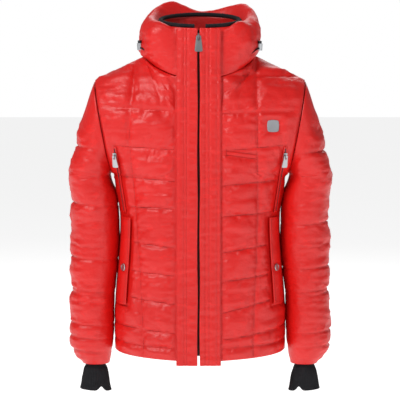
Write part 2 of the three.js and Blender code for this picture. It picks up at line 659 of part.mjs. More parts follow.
// ---- Hood cord and its lock, on the side of the collar ------------------------------------
const LOCK_ALPHA = 0.4 * Math.PI;
const CORD_SPREAD = 0.1 * Math.PI;
const LOCK_V = 0.26;
const CORD_END_V = 0.2;
const CORD_HOLE_R = CORD_R + 0.7;
const PLUNGER_R = 4.3;
function lockFrame(side) {
  const s = side * (1 - LOCK_ALPHA / Math.PI);
  const stand = -GAP - LOCK_R - 0.8;
  const place = collarAt(s, LOCK_V, stand);
  const above = collarAt(s, LOCK_V + 0.03, stand);
  return frameBetween(place, above, collarAt(s, LOCK_V, stand + 5));
}
const lockBody = () => {
  const barrel = new THREE.CylinderGeometry(LOCK_R, LOCK_R, LOCK_LENGTH, 12).rotateX(Math.PI / 2);
  const boreR = PLUNGER_R + GAP;
  const bore = new THREE.CylinderGeometry(boreR, boreR, LOCK_LENGTH, 12).rotateX(Math.PI / 2);
  const hole = new THREE.CylinderGeometry(CORD_HOLE_R, CORD_HOLE_R, LOCK_R * 4, 8).rotateZ(Math.PI / 2);
  return cut(barrel, bore.translate(0, 0, LOCK_LENGTH / 2 + 1), hole.translate(0, 0, -LOCK_LENGTH / 5));
};
const plunger = () => {
  const bottom = PLUNGER_TRAVEL + 1.6;
  const top = LOCK_LENGTH / 2 + PLUNGER_TRAVEL + 2.4;
  return new THREE.CylinderGeometry(PLUNGER_R, PLUNGER_R, top - bottom, 12).rotateX(Math.PI / 2)
    .translate(0, 0, (top + bottom) / 2);
};
function hoodCord(side) {
  const frame = lockFrame(side);
  const along = (x) => V(x, 0, -LOCK_LENGTH / 5).applyMatrix4(frame);
  const ends = [-1, 1].map((end) => {
    const alpha = LOCK_ALPHA + end * side * CORD_SPREAD;
    return collarAt(side * (1 - alpha / Math.PI), CORD_END_V, -GAP - CORD_R);
  });
  const straight = LOCK_R + 6;
  const route = [ends[0], along(-straight), along(0), along(straight), ends[1]];
  const round = new THREE.Shape().absarc(0, 0, CORD_R, 0, 2 * Math.PI);
  return new THREE.ExtrudeGeometry(round, {
    steps: 12, curveSegments: 4, bevelEnabled: false, extrudePath: new THREE.CatmullRomCurve3(route),
  });
}

// ---- Hanger loop, which carries the jacket and holds the origin -----------------------------
const LOOP_V = 0.1;
const LOOP_STAND = 8;
const LOOP_THICK = 1.2;
const loopWall = collarAt(0, LOOP_V, LINING, liningPoint);
const ORIGIN = V(0, loopWall.y - LOOP_STAND, loopWall.z);
const hangerLoop = () => slab((u, v, t) => {
  const x = lerp(-LOOP_SPAN / 2, LOOP_SPAN / 2, u);
  const s = Math.asin(x / NECK_HALF) / Math.PI;
  const wall = collarAt(s, LOOP_V, LINING, liningPoint);
  const out = smooth((LOOP_SPAN / 2 - Math.abs(x)) / (LOOP_SPAN * 0.28));
  return V(x, lerp(wall.y - 5 * GAP, ORIGIN.y, out) - t * LOOP_THICK, ORIGIN.z + (v - 0.5) * LOOP_WIDTH);
}, 16, 1);

// ---- Knitted gaiter inside the sleeve end -----------------------------------------------------
const GAITER_CLEAR = 1.1;
const wristHalf = WRIST_WIDTH / 2 - SLEEVE_WALL - GAITER_CLEAR;
const gaiterHalf = through([
  [SLEEVE_END_Z, wristHalf], [SLEEVE_END_Z - 16, WRIST_WIDTH * 0.47], [GAITER_END_Z, WRIST_WIDTH * 0.64],
]);
const gaiterDepth = through([
  [SLEEVE_END_Z, WRIST_DEPTH - SLEEVE_WALL - GAITER_CLEAR], [SLEEVE_END_Z - 16, WRIST_DEPTH * 0.9],
  [GAITER_END_Z, WRIST_DEPTH],
]);
const LOWER_ROWS = 4;
const lastRowZ = SLEEVE_END_Z + (FOREARM_Z - SLEEVE_END_Z) / LOWER_ROWS;
function gaiterPoint(z, phi, off) {
  const inset = SLEEVE_WALL + GAITER_CLEAR + off;
  if (z >= SLEEVE_END_Z) {
    const share = (z - SLEEVE_END_Z) / (lastRowZ - SLEEVE_END_Z);
    return tubePoint(SLEEVE_END_Z, phi, inset).lerp(tubePoint(lastRowZ, phi, inset), share);
  }
  const middle = sleeveInner(SLEEVE_END_Z) + WRIST_WIDTH / 2;
  const half = gaiterHalf(z);
  const [inner, outer] = [middle - half, middle + half];
  const { across, y } = sectionPoint(inner, outer, gaiterDepth(z), sleeveForward(z), phi, off);
  return V(across, y, z);
}
const TUCK_SHARE = 0.25;
function gaiterZ(along) {
  if (along < TUCK_SHARE) return lerp(SLEEVE_END_Z + GAITER_TUCK, SLEEVE_END_Z, along / TUCK_SHARE);
  return lerp(SLEEVE_END_Z, GAITER_END_Z, (along - TUCK_SHARE) / (1 - TUCK_SHARE));
}
const gaiter = (side) => ring((turn, along, t) => mirrored(
  gaiterPoint(gaiterZ(along), turn * 2 * Math.PI, t * GAITER_WALL), side,
), AROUND, 4);

// ---- Assembly -----------------------------------------------------------------------------------
const finish = (color, roughness, metalness = 0) => ({ color, roughness, metalness });
const RED = finish(0xd8201c, 0.5);
const DEEP_RED = finish(0xa81414, 0.5);
const WHITE_FILL = finish(0xe8e6e0, 0.9);
const BLACK_KNIT = finish(0x151517, 0.9);
const BLACK_TAPE = finish(0x1c1c1f, 0.7);
const SILVER = finish(0xb9bcc2, 0.3, 1);
const jacket = new THREE.Group();
jacket.position.copy(ORIGIN).negate();

function add(name, geometry, look, frame) {
  const mesh = new THREE.Mesh(geometry, new THREE.MeshStandardMaterial(look));
  mesh.name = name;
  if (frame) frame.decompose(mesh.position, mesh.quaternion, mesh.scale);
  jacket.add(mesh);
}
function addPlaced(name, geometry, look, frame) {
  add(name, geometry.applyMatrix4(frame.clone().invert()), look, frame);
}

const SEAM_TURN = 0.012;
const SIDES = [['left', -1], ['right', 1]];

for (const [name, side] of SIDES) {
  add(`front_${name}_shell`, frontLayer(side, 0, SHELL, 0), RED);
  add(`front_${name}_wadding`, frontLayer(side, WADDING_OFF, WADDING, 1), WHITE_FILL);
  add(`front_${name}_lining`, frontLayer(side, LINING_OFF, LINING, 1), DEEP_RED);
  add(`placket_${name}`, placket(side), RED);
  add(`zip_chain_${name}`, chain(side), BLACK_TAPE);
  add(`zip_tape_${name}`, tape(side), BLACK_TAPE);
  add(`sleeve_head_${name}`, sleeveHead(side, armTurn - SEAM_TURN, SWING_SECTOR + SEAM_TURN), RED);
  add(`sleeve_bend_${name}`, sleeveHead(side, SWING_SECTOR, SEAM_TURN), RED);
  add(`sleeve_upper_${name}`, sleeveTube(side, UNDERARM_Z - SEAM, FOREARM_Z + SEAM, 4), RED);
  add(`sleeve_lower_${name}`, sleeveTube(side, FOREARM_Z, SLEEVE_END_Z, LOWER_ROWS), RED);
  add(`gaiter_${name}`, gaiter(side), BLACK_KNIT);
  add(`pocket_zip_${name}`, pocketStrip(side), BLACK_TAPE);
  add(`pocket_bag_${name}`, pocketBag(side), DEEP_RED);
  const pocket = pocketFrame(side);
  const smallArch = GAP + 3.4;
  add(`pocket_slider_${name}`, sliderGeometry(POCKET_SCALE, smallArch), SILVER, pocket);
  const smallPivot = pocket.clone().multiply(new THREE.Matrix4().makeTranslation(0, -GAP - smallArch, 0));
  add(`pocket_pull_${name}`, pullGeometry(POCKET_SCALE), SILVER, smallPivot);
  addPlaced(`flap_${name}`, flap(side), RED, flapHinge(side));
  add(`snap_cap_${name}`, cap(), SILVER, snapFrame(side));
  add(`snap_socket_${name}`, socket(), SILVER, snapFrame(side));
  add(`snap_stud_${name}`, stud(), SILVER, snapFrame(side));
  add(`cord_lock_${name}`, lockBody(), SILVER, lockFrame(side));
  add(`lock_plunger_${name}`, plunger(), BLACK_TAPE, lockFrame(side));
  add(`hood_cord_${name}`, hoodCord(side), BLACK_TAPE);
}
add('back_shell', backLayer(0, SHELL), RED);
add('back_wadding', backLayer(WADDING_OFF, WADDING), WHITE_FILL);
add('back_lining', backLayer(LINING_OFF, LINING), DEEP_RED);
add('wind_flap', windFlap(), BLACK_TAPE);
add('collar_shell', collarShell(), RED);
add('collar_lining', collarLining(), DEEP_RED);
add('hood_roll', hoodRoll(), RED);
add('collar_binding', collarBinding(), BLACK_KNIT);
add('hanger_loop', hangerLoop(), BLACK_TAPE);
add('chest_welt', chestWelt(), RED);
add('badge', badge(), BLACK_TAPE);

const lean = new THREE.Matrix4().makeRotationX(-Math.atan(FRONT_LEAN));
const sliderPlace = new THREE.Matrix4()
  .makeTranslation(ZIP_X, frontY(SLIDER_Z) + CHAIN_OFF, SLIDER_Z).multiply(lean);
const mainArch = CHAIN_OFF + PLACKET_THICK + 2.2;
add('zip_slider', sliderGeometry(1, mainArch), SILVER, sliderPlace);
const pullPlace = sliderPlace.clone().multiply(new THREE.Matrix4().makeTranslation(0, -GAP - mainArch, 0));
add('zip_pull', pullGeometry(1), SILVER, pullPlace);
const boxPlace = new THREE.Matrix4()
  .makeTranslation(ZIP_X, frontY(ZIP_BOTTOM) + CHAIN_OFF, ZIP_BOTTOM + 6).multiply(lean);
add('zip_box', block(CHAIN_HALF * 2, CHAIN_THICK * 1.2, 12, 0, CHAIN_THICK / 2), SILVER, boxPlace);

export default jacket;
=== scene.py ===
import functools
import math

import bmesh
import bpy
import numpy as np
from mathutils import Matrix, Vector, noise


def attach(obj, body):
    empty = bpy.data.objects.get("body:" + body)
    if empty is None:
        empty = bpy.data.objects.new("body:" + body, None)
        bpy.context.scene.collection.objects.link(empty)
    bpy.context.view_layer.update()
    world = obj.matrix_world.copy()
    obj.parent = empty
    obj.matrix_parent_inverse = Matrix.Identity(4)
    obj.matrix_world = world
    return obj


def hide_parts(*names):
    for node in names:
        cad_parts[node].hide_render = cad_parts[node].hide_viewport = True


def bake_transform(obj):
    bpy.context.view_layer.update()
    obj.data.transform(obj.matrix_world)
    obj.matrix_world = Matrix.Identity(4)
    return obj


bl_info = {
    "name": "Quilted ski jacket",
    "version": (1, 0, 0),
    "blender": (4, 5, 0),
    "location": "3D View > Sidebar > Jacket",
    "description": "Builds the quilted jacket's fabric, trim and stage round its packed frame",
    "category": "Add Mesh",
}

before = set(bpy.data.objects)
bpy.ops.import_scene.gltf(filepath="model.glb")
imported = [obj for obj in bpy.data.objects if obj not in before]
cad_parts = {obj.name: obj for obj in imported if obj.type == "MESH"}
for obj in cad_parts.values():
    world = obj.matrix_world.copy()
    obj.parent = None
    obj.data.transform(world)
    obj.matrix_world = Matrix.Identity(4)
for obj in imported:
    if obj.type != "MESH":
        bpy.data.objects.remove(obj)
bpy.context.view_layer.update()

# ---- Pattern: the garment's surfaces in metres, in the pattern's own frame ------------------
LOOP = np.array([0.0, 0.06808, 0.00945])  # the hanger loop, which is the frame's origin
HEM_Z, HIP_Z, WAIST_Z, UNDERARM_Z, CHEST_Z = -0.655, -0.560, -0.356, -0.268, -0.205
YOKE_Z, SHOULDER_Z, NECK_FRONT_Z, NECK_SIDE_Z = -0.130, -0.058, -0.057, -0.005
HIP_HALF, WAIST_HALF, UNDERARM_HALF, SHOULDER_HALF, NECK_HALF = 0.187, 0.174, 0.190, 0.231, 0.121
FRONT_TOP_Y, FRONT_TOP_Z, FRONT_LEAN = -0.088, 0.058, 0.055
BODY_POWER, ARM_POWER = 2.6, 2.2
SIDE_Y = 0.004
HINGE_R, SLEEVE_GAP = 0.005, 0.008
BICEP_WIDTH, ELBOW_WIDTH, FOREARM_WIDTH, WRIST_WIDTH = 0.090, 0.094, 0.088, 0.056
ARMHOLE_DEPTH, BICEP_DEPTH, FOREARM_DEPTH, WRIST_DEPTH = 0.080, 0.076, 0.062, 0.033
ELBOW_Z, FOREARM_Z, SLEEVE_END_Z, GAITER_END_Z = -0.420, -0.541, -0.686, -0.750
FOREARM_FORWARD, SHOULDER_FALL = 0.016, 3.85
COLLAR_BULGE, HOOD_RISE = 0.016, 0.026
COLLAR_BACK_Z, COLLAR_FRONT_Z = 0.084, 0.052
OPENING_HALF, OPENING_BACK_Y = 0.090, 0.066
FRONT_FLAT = 0.42
ZIP_X, ZIP_SLOT = -0.003, 0.003
PLACKET_WIDTH, PLACKET_DROP = 0.045, 0.016
NECK_SHARE, YOKE_SHARE = 0.52, 0.82
COLLAR_DIP = 0.005
COLLAR_WALL, LINING_WALL = 0.0024, 0.0016
SLEEVE_WALL, GAITER_WALL, GAITER_CLEAR, GAITER_TUCK = 0.008, 0.0024, 0.0011, 0.016
GAP, SEAM = 0.00035, 0.0005
STEP = 1e-3
FRAMES, PRESSURE, CLOTH_EASE = 20, 4.0, 0.03  # of the cloth simulation
SHELL_THICK, EDGE_THICK = 0.0075, 0.002
LINING_OFF = 0.0101
SIDES = (("left", -1), ("right", 1))


def lerp(a, b, t):
    return a + (b - a) * t


def smooth(t):
    t = np.clip(t, 0, 1)
    return t * t * (3 - 2 * t)


def signed_power(c, p):
    return np.sign(c) * np.abs(c) ** p


def stack(x, y, z):
    return np.stack(np.broadcast_arrays(x, y, z), axis=-1).astype(float)


def through(*stations):
    """Smooth function through (place, value) stations, listed with falling places."""
    places = np.array([s[0] for s in stations])
    values = np.array([s[1] for s in stations])
    last = len(places) - 1
    before = np.maximum(np.arange(last + 1) - 1, 0)
    after = np.minimum(np.arange(last + 1) + 1, last)
    slopes = (values[after] - values[before]) / (places[after] - places[before])

    def value(place):
        place = np.asarray(place, float)
        i = np.clip(np.searchsorted(-places, -place, side="right") - 1, 0, last - 1)
        span = places[i + 1] - places[i]
        t = np.clip((place - places[i]) / span, 0, 1)
        rise = (1 - t) ** 2 * t * slopes[i] * span - (1 - t) * t * t * slopes[i + 1] * span
        return lerp(values[i], values[i + 1], t * t * (3 - 2 * t)) + rise

    return value


def front_y(z):
    return FRONT_TOP_Y - FRONT_LEAN * (FRONT_TOP_Z - z)


back_y = through((0, 0.082), (CHEST_Z, 0.124), (WAIST_Z, 0.104), (HEM_Z, 0.122))
body_half = through((UNDERARM_Z, UNDERARM_HALF), (WAIST_Z, WAIST_HALF), (HIP_Z, HIP_HALF), (HEM_Z, HIP_HALF))
SWING_X = UNDERARM_HALF + HINGE_R
ARM_TURN = math.atan2(SHOULDER_Z - UNDERARM_Z, SHOULDER_HALF - SWING_X)
ARM_REACH = math.hypot(SHOULDER_Z - UNDERARM_Z, SHOULDER_HALF - SWING_X)


def section(inner, outer, depth, forward, phi, off):
    half = (outer - inner) / 2 - off
    across = (outer + inner) / 2 + half * signed_power(np.cos(phi), 2 / ARM_POWER)
    return across, SIDE_Y - forward - (depth - off) * signed_power(np.sin(phi), 2 / ARM_POWER)


def head_point(turn, phi, off):
    reach = BICEP_WIDTH + (ARM_REACH - BICEP_WIDTH) * (turn / ARM_TURN) ** SHOULDER_FALL
    depth = lerp(BICEP_DEPTH, ARMHOLE_DEPTH, turn / ARM_TURN)
    across, y = section(HINGE_R, reach, depth, 0, phi, off)
    return stack(SWING_X + across * np.cos(turn), y, UNDERARM_Z + across * np.sin(turn))


sleeve_inner = through(
    (UNDERARM_Z, SWING_X + HINGE_R), (UNDERARM_Z - 0.07, WAIST_HALF + SLEEVE_GAP + 0.005),
    (ELBOW_Z, float(body_half(ELBOW_Z)) + SLEEVE_GAP), (FOREARM_Z, HIP_HALF + SLEEVE_GAP),
    (SLEEVE_END_Z + 0.06, HIP_HALF + SLEEVE_GAP + 0.002),
    (SLEEVE_END_Z, HIP_HALF + SLEEVE_GAP + (FOREARM_WIDTH - WRIST_WIDTH) / 3),
)
sleeve_width = through(
    (UNDERARM_Z, BICEP_WIDTH - HINGE_R), (ELBOW_Z, ELBOW_WIDTH + 0.004), (FOREARM_Z, FOREARM_WIDTH),
    (SLEEVE_END_Z + 0.046, FOREARM_WIDTH), (SLEEVE_END_Z, WRIST_WIDTH),
)
sleeve_depth = through(
    (UNDERARM_Z, BICEP_DEPTH), (ELBOW_Z, BICEP_DEPTH - 0.006), (FOREARM_Z, FOREARM_DEPTH),
    (SLEEVE_END_Z + 0.046, FOREARM_DEPTH - 0.008), (SLEEVE_END_Z, WRIST_DEPTH),
)
sleeve_forward = through(
    (UNDERARM_Z, 0), (ELBOW_Z, -0.002), (FOREARM_Z, FOREARM_FORWARD / 2), (SLEEVE_END_Z, FOREARM_FORWARD),
)


def tube_point(z, phi, off):
    inner = sleeve_inner(z)
    across, y = section(inner, inner + sleeve_width(z), sleeve_depth(z), sleeve_forward(z), phi, off)
    return stack(across, y, z)


def neck_seam(alpha):
    c = np.cos(alpha)
    y = lerp(SIDE_Y - 0.008, np.where(c > 0, front_y(NECK_FRONT_Z), 0.082), np.abs(c))
    z = np.where(c > 0, lerp(NECK_SIDE_Z, NECK_FRONT_Z, np.abs(c) ** 1.4), lerp(NECK_SIDE_Z, 0, np.abs(c)))
    return stack(NECK_HALF * np.sin(alpha), y, z)


def armhole_phi(z):
    lift = ((z - UNDERARM_Z) / math.sin(ARM_TURN) - HINGE_R) / (ARM_REACH - HINGE_R)
    return np.arccos(signed_power(2 * np.clip(lift, 0, 1) - 1, ARM_POWER / 2))


def row_point(face, start, u, z):
    depth = SIDE_Y - front_y(z) if face > 0 else back_y(z) - SIDE_Y
    arm = head_point(np.full_like(z, ARM_TURN), armhole_phi(z), 0)
    above = z > UNDERARM_Z
    ease = np.clip((z - UNDERARM_Z) / SLEEVE_GAP, 0, 1)
    side_x = np.where(above, lerp(UNDERARM_HALF, arm[..., 0], ease), body_half(z))
    inset = np.where(above, np.abs(arm[..., 1] - SIDE_Y), 0)
    width = side_x / (1 - (inset / depth) ** BODY_POWER) ** (1 / BODY_POWER)
    phi = lerp(np.arctan2(start, depth), np.arctan2(side_x, inset), u)
    total = np.abs(np.cos(phi) / depth) ** BODY_POWER + np.abs(np.sin(phi) / width) ** BODY_POWER
    r = total ** (-1 / BODY_POWER)
    return stack(r * np.sin(phi), SIDE_Y - face * r * np.cos(phi), z)


def top_point(face, start, u):
    first = math.asin(start / NECK_HALF)
    alpha = lerp(first, math.pi / 2, np.clip(u / NECK_SHARE, 0, 1))
    neck = neck_seam(alpha if face > 0 else math.pi - alpha)
    corner = neck_seam(np.full_like(u, math.pi / 2))
    tip = np.array([SHOULDER_HALF, SIDE_Y, SHOULDER_Z])
    shoulder = lerp(corner, tip, ((u - NECK_SHARE) / (1 - NECK_SHARE))[..., None])
    return np.where((u <= NECK_SHARE)[..., None], neck, shoulder)


def bezier(a, b, c, d, w):
    w = w[..., None]
    return (1 - w) ** 3 * a + 3 * (1 - w) ** 2 * w * b + 3 * (1 - w) * w * w * c + w ** 3 * d


def panel_point(face, start, u, v):
    """Outer surface of half a body panel: u from the centre to the side, v from hem to neck."""
    u, v = np.broadcast_arrays(np.asarray(u, float), np.asarray(v, float))
    low_part = row_point(face, start, u, lerp(HEM_Z, YOKE_Z, np.minimum(v / YOKE_SHARE, 1)))
    w = np.clip((v - YOKE_SHARE) / (1 - YOKE_SHARE), 0, 1)
    yoke = np.full_like(u, YOKE_Z)
    rise = (SHOULDER_Z - YOKE_Z) / 3

    def curve(at):
        low, high, g = row_point(face, start, at, yoke), top_point(face, start, at), smooth(at / 0.8)
        c1 = low + stack(0, FRONT_LEAN * rise * face, lerp(rise, 1.6 * rise, g))
        pull = lerp(0.0013 if face > 0 else 0.010, 0.044, g)
        return bezier(low, c1, high + stack(0, -face * pull, lerp(-rise, -0.006, g)), high, w)

    arm = head_point(np.full_like(u, ARM_TURN), lerp(armhole_phi(yoke), 0, w), 0)
    arm[..., 1] = SIDE_Y + face * (arm[..., 1] - SIDE_Y)
    mend = (arm - curve(np.ones_like(u))) * smooth((u - 0.45) / 0.55)[..., None]
    return np.where((v > YOKE_SHARE)[..., None], curve(u) + mend, low_part)


def opening_point(alpha):
    c = np.cos(alpha)
    y = lerp(SIDE_Y - 0.012, np.where(c > 0, front_y(COLLAR_FRONT_Z), OPENING_BACK_Y), np.abs(c))
    z = (COLLAR_BACK_Z + COLLAR_FRONT_Z) / 2 - (COLLAR_BACK_Z - COLLAR_FRONT_Z) / 2 * c
    return stack(OPENING_HALF * np.sin(alpha), y, z)


def radial(alpha):
    return stack(np.sin(alpha), -np.cos(alpha), 0)


def collar_point(alpha, v):
    alpha, v = np.broadcast_arrays(np.asarray(alpha, float), np.asarray(v, float))
    base, top = neck_seam(alpha) + np.array([0, 0, 3 * SEAM]), opening_point(alpha)
    full = smooth((alpha - FRONT_FLAT) / 0.6)[..., None]
    third = (top[..., 2:] - base[..., 2:]) / 3
    c1 = lerp(base, top, 1 / 3) + full * COLLAR_BULGE * 1.6 * radial(alpha)
    c2 = lerp(base, top, 2 / 3) + full * COLLAR_BULGE * 1.9 * radial(alpha)
    c2[..., 2:] += full * (HOOD_RISE + third)
    return bezier(base, c1, c2, top, v)


def mirrored(points, side):
    return points * np.array([side, 1.0, 1.0])


def start_of(side):
    return ZIP_SLOT + side * ZIP_X


def panel_at(face, start, u, v, off):
    """Panel surface moved inwards by off, with the small gaps that its seams leave."""
    u, v = np.broadcast_arrays(np.asarray(u, float), np.asarray(v, float))
    u0, u1 = np.maximum(0, u - STEP), np.minimum(1, u + STEP)
    v0, v1 = np.maximum(0, v - STEP), np.minimum(1, v + STEP)
    du = panel_point(face, start, u1, v) - panel_point(face, start, u0, v)
    dv = panel_point(face, start, u, v1) - panel_point(face, start, u, v0)
    inward = np.cross(dv, du) * face
    top = np.clip((v - 0.97) / 0.03, 0, 1) * (u >= NECK_SHARE - 0.02)
    side = np.clip((u - 0.97) / 0.03, 0, 1) * (v < YOKE_SHARE)
    inward[..., 1] *= 1 - 0.98 * np.maximum(top, side)
    inward /= np.linalg.norm(inward, axis=-1, keepdims=True)
    p = panel_point(face, start, u, v) + inward * np.asarray(off)[..., None]
    p[..., 1] -= face * SEAM / 2 * np.maximum(u ** 6, top)
    p[..., 0] -= SEAM * u ** 6
    p[..., 2] -= np.where(v > 1 - STEP, SEAM / 2, 0)
    return p


def on_front(side, x, z, off):
    """Point on a front panel at a place across and a height, off inwards."""
    x, z = np.broadcast_arrays(np.asarray(x, float), np.asarray(z, float))
    v = YOKE_SHARE * (z - HEM_Z) / (YOKE_Z - HEM_Z)
    low, high = np.zeros_like(x), np.ones_like(x)
    for _ in range(24):
        u = (low + high) / 2
        inside = panel_point(1, start_of(side), u, v)[..., 0] < x
        low, high = np.where(inside, u, low), np.where(inside, high, u)
    return mirrored(panel_at(1, start_of(side), low, v, off), side)


def collar_at(s, v, off, surface=collar_point):
    """Collar surface from the left front edge (s = -1) round the back to the right (s = 1)."""
    s, v = np.broadcast_arrays(np.asarray(s, float), np.asarray(v, float))
    side = np.where(s < 0, -1.0, 1.0)
    start = ZIP_SLOT + side * ZIP_X
    first = np.arcsin(start / NECK_HALF)
    alpha = math.pi - np.abs(s) * (math.pi - first)
    da = surface(alpha + STEP, v) - surface(alpha - STEP, v)
    dv = surface(alpha, np.minimum(1, v + STEP)) - surface(alpha, np.maximum(0, v - STEP))
    inward = np.cross(dv, da)
    inward /= np.maximum(np.linalg.norm(inward, axis=-1, keepdims=True), 1e-12)
    p = surface(alpha, v) + inward * np.asarray(off)[..., None]
    p[..., 0] += (start - surface(first, v)[..., 0]) * (1 - smooth(alpha / 0.5))
    p[..., 0] *= side
    return p


def lining_point(alpha, v):
    alpha, v = np.broadcast_arrays(np.asarray(alpha, float), np.asarray(v, float))
    inset = (COLLAR_WALL + GAP) * radial(alpha)
    base = neck_seam(alpha) + np.array([0, 0, 3 * SEAM]) - inset
    return lerp(base, opening_point(alpha) - inset, v[..., None])


def front_strip(x, z, off):
    """Strip over the front opening: x from its middle, off into the body."""
    away = np.abs(x) / (ZIP_SLOT + PLACKET_WIDTH)
    dip = lerp(0.0008, COLLAR_DIP, smooth((z - NECK_FRONT_Z + 0.030) / 0.070)) * away * away
    return stack(ZIP_X + x, front_y(z) + dip + off, z)


gaiter_half = through(
    (SLEEVE_END_Z, WRIST_WIDTH / 2 - SLEEVE_WALL - GAITER_CLEAR),
    (SLEEVE_END_Z - GAITER_TUCK, WRIST_WIDTH * 0.47), (GAITER_END_Z, WRIST_WIDTH * 0.64),
)
gaiter_depth = through(
    (SLEEVE_END_Z, WRIST_DEPTH - SLEEVE_WALL - GAITER_CLEAR),
    (SLEEVE_END_Z - GAITER_TUCK, WRIST_DEPTH * 0.9), (GAITER_END_Z, WRIST_DEPTH),
)


def gaiter_point(z, phi, off):
    tucked = tube_point(np.maximum(z, SLEEVE_END_Z), phi, SLEEVE_WALL + GAITER_CLEAR + off)
    middle = float(sleeve_inner(SLEEVE_END_Z)) + WRIST_WIDTH / 2
    half = gaiter_half(z)
    across, y = section(middle - half, middle + half, gaiter_depth(z), sleeve_forward(z), phi, off)
    return np.where((z >= SLEEVE_END_Z)[..., None], tucked, stack(across, y, z))


# ---- Grids and meshes ---------------------------------------------------------------------
def axes(rows, columns, wrap=False):
    """Shares along (rows) and across (columns) a grid, as two arrays."""
    across = np.arange(columns) / columns if wrap else np.linspace(0, 1, columns)
    return np.meshgrid(np.linspace(0, 1, rows), across, indexing="ij")


def outward(points, wrap=False):
    """Unit normals of a grid, on the side where columns turn left round the rows."""
    wide = np.roll(points, -1, 1) - np.roll(points, 1, 1) if wrap else np.gradient(points, axis=1)
    n = np.cross(wide, np.gradient(points, axis=0))
    return n / np.maximum(np.linalg.norm(n, axis=-1, keepdims=True), 1e-9)


def waves(points, scales, seed, octaves=3):
    """Smooth random field from -1 to 1, stretched by a scale for each axis."""
    flat = points.reshape(-1, 3) * np.asarray(scales) + seed * 7.31
    values = [noise.fractal(Vector(p), 0.9, 2.1, octaves) for p in flat]
    return np.array(values).reshape(points.shape[:-1])


def sheet_faces(rows, columns, wrap=False):
    r, c = np.meshgrid(np.arange(rows - 1), np.arange(columns if wrap else columns - 1), indexing="ij")
    low, high, n = r * columns, (r + 1) * columns, (c + 1) % columns
    return np.stack([low + c, low + n, high + n, high + c], -1).reshape(-1, 4)


def walled(outer, inner, wrap=False):
    """Vertices and faces of the closed solid between two grids."""
    rows, columns = outer.shape[:2]
    count = rows * columns
    front = sheet_faces(rows, columns, wrap)
    back = front[:, ::-1] + count
    ids = np.arange(count).reshape(rows, columns)
    rims = [(ids[0], False), (ids[-1], True)]
    if not wrap:
        rims += [(ids[:, 0], True), (ids[:, -1], False)]
    sides = []
    for rim, turned in rims:
        a, b = rim, np.roll(rim, -1)
        if not (wrap and len(rim) == columns):
            a, b = rim[:-1], rim[1:]
        quad = np.stack([b, a, a + count, b + count], -1)
        sides.append(quad[:, ::-1] if turned else quad)
    verts = np.concatenate([outer.reshape(-1, 3), inner.reshape(-1, 3)])
    return verts, np.concatenate([front, back, *sides])


def signed_volume(verts, faces):
    a, b, c, d = (verts[faces[:, i]] for i in range(4))
    return float(np.sum(a * np.cross(b, c)) + np.sum(a * np.cross(c, d))) / 6


def mesh_object(name, verts, faces, material=None):
    """Smooth mesh object at the origin."""
    mesh = bpy.data.meshes.new(name)
    mesh.from_pydata(verts.tolist(), [], faces)
    mesh.update()
    mesh.polygons.foreach_set("use_smooth", [True] * len(mesh.polygons))
    obj = bpy.data.objects.new(name, mesh)
    bpy.context.scene.collection.objects.link(obj)
    if material:
        mesh.materials.append(material)
    return obj


def new_object(name, verts, faces, material):
    """Closed mesh from the pattern's frame, turned so that its faces point outwards."""
    if signed_volume(verts, faces) < 0:
        faces = faces[:, ::-1]
    return mesh_object(name, verts - LOOP, faces.tolist(), material)


def tube_object(name, rings, material):
    """Closed tube round a line of rings, its ends closed by fans of triangles."""
    count, around = rings.shape[:2]
    last = count * around
    verts = np.concatenate([rings.reshape(-1, 3), rings[:1].mean(1), rings[-1:].mean(1)])
    faces = sheet_faces(count, around, wrap=True).tolist()
    ends = [(i, (i + 1) % around) for i in range(around)]
    faces += [[b, a, last] for a, b in ends]
    faces += [[a + last - around, b + last - around, last + 1] for a, b in ends]
    obj = mesh_object(name, verts - LOOP, faces, material)
    shape = bmesh.new()
    shape.from_mesh(obj.data)
    bmesh.ops.recalc_face_normals(shape, faces=shape.faces)
    shape.to_mesh(obj.data)
    shape.free()
    return obj


def puffed(points, pins, cap, wrap=False):
    """Grid swelled by cloth pressure between its sewn points, moved no further than cap."""
    verts = points.reshape(-1, 3)
    cloth = mesh_object("cloth", verts, sheet_faces(*points.shape[:2], wrap).tolist())
    group = cloth.vertex_groups.new(name="sewn")
    for weight in (1, 0):
        group.add(np.nonzero(pins.ravel() == weight)[0].tolist(), weight, "REPLACE")
    swell = cloth.modifiers.new("Swell", "CLOTH")
    swell.settings.vertex_group_mass = "sewn"
    swell.settings.use_pressure = True
    swell.settings.uniform_pressure_force = PRESSURE
    swell.settings.effector_weights.gravity = 0
    swell.settings.shrink_min = -CLOTH_EASE
    swell.settings.bending_stiffness = 0.1
    swell.settings.compression_stiffness = 8
    swell.collision_settings.use_collision = False
    swell.point_cache.frame_start, swell.point_cache.frame_end = 1, FRAMES
    scene = bpy.context.scene
    for frame_number in range(1, FRAMES + 1):
        scene.frame_set(frame_number)
    result = cloth.evaluated_get(bpy.context.evaluated_depsgraph_get())
    co = np.empty(len(verts) * 3)
    result.data.vertices.foreach_get("co", co)
    moved = co.reshape(points.shape) - points
    bpy.data.meshes.remove(cloth.data)  # takes the cloth's object with it
    scene.frame_set(1)
    length = np.linalg.norm(moved, axis=-1, keepdims=True)
    return points + moved * np.minimum(1, cap * np.tanh(length / cap) / np.maximum(length, 1e-9))


# ---- Shader maths ---------------------------------------------------------------------------
class Value:
    """A shader socket whose operators add Math nodes."""

    def __init__(self, look, socket):
        self.look, self.socket = look, socket

    def _math(self, operation, other=0.0):
        return self.look.node("ShaderNodeMath", {"operation": operation}, self, other)

    def __add__(self, other):
        return self._math("ADD", other)

    def __mul__(self, other):
        return self._math("MULTIPLY", other)

    def __gt__(self, other):
        return self._math("GREATER_THAN", other)

    def sine(self):
        return self._math("SINE")

    __radd__ = __add__
    __rmul__ = __mul__


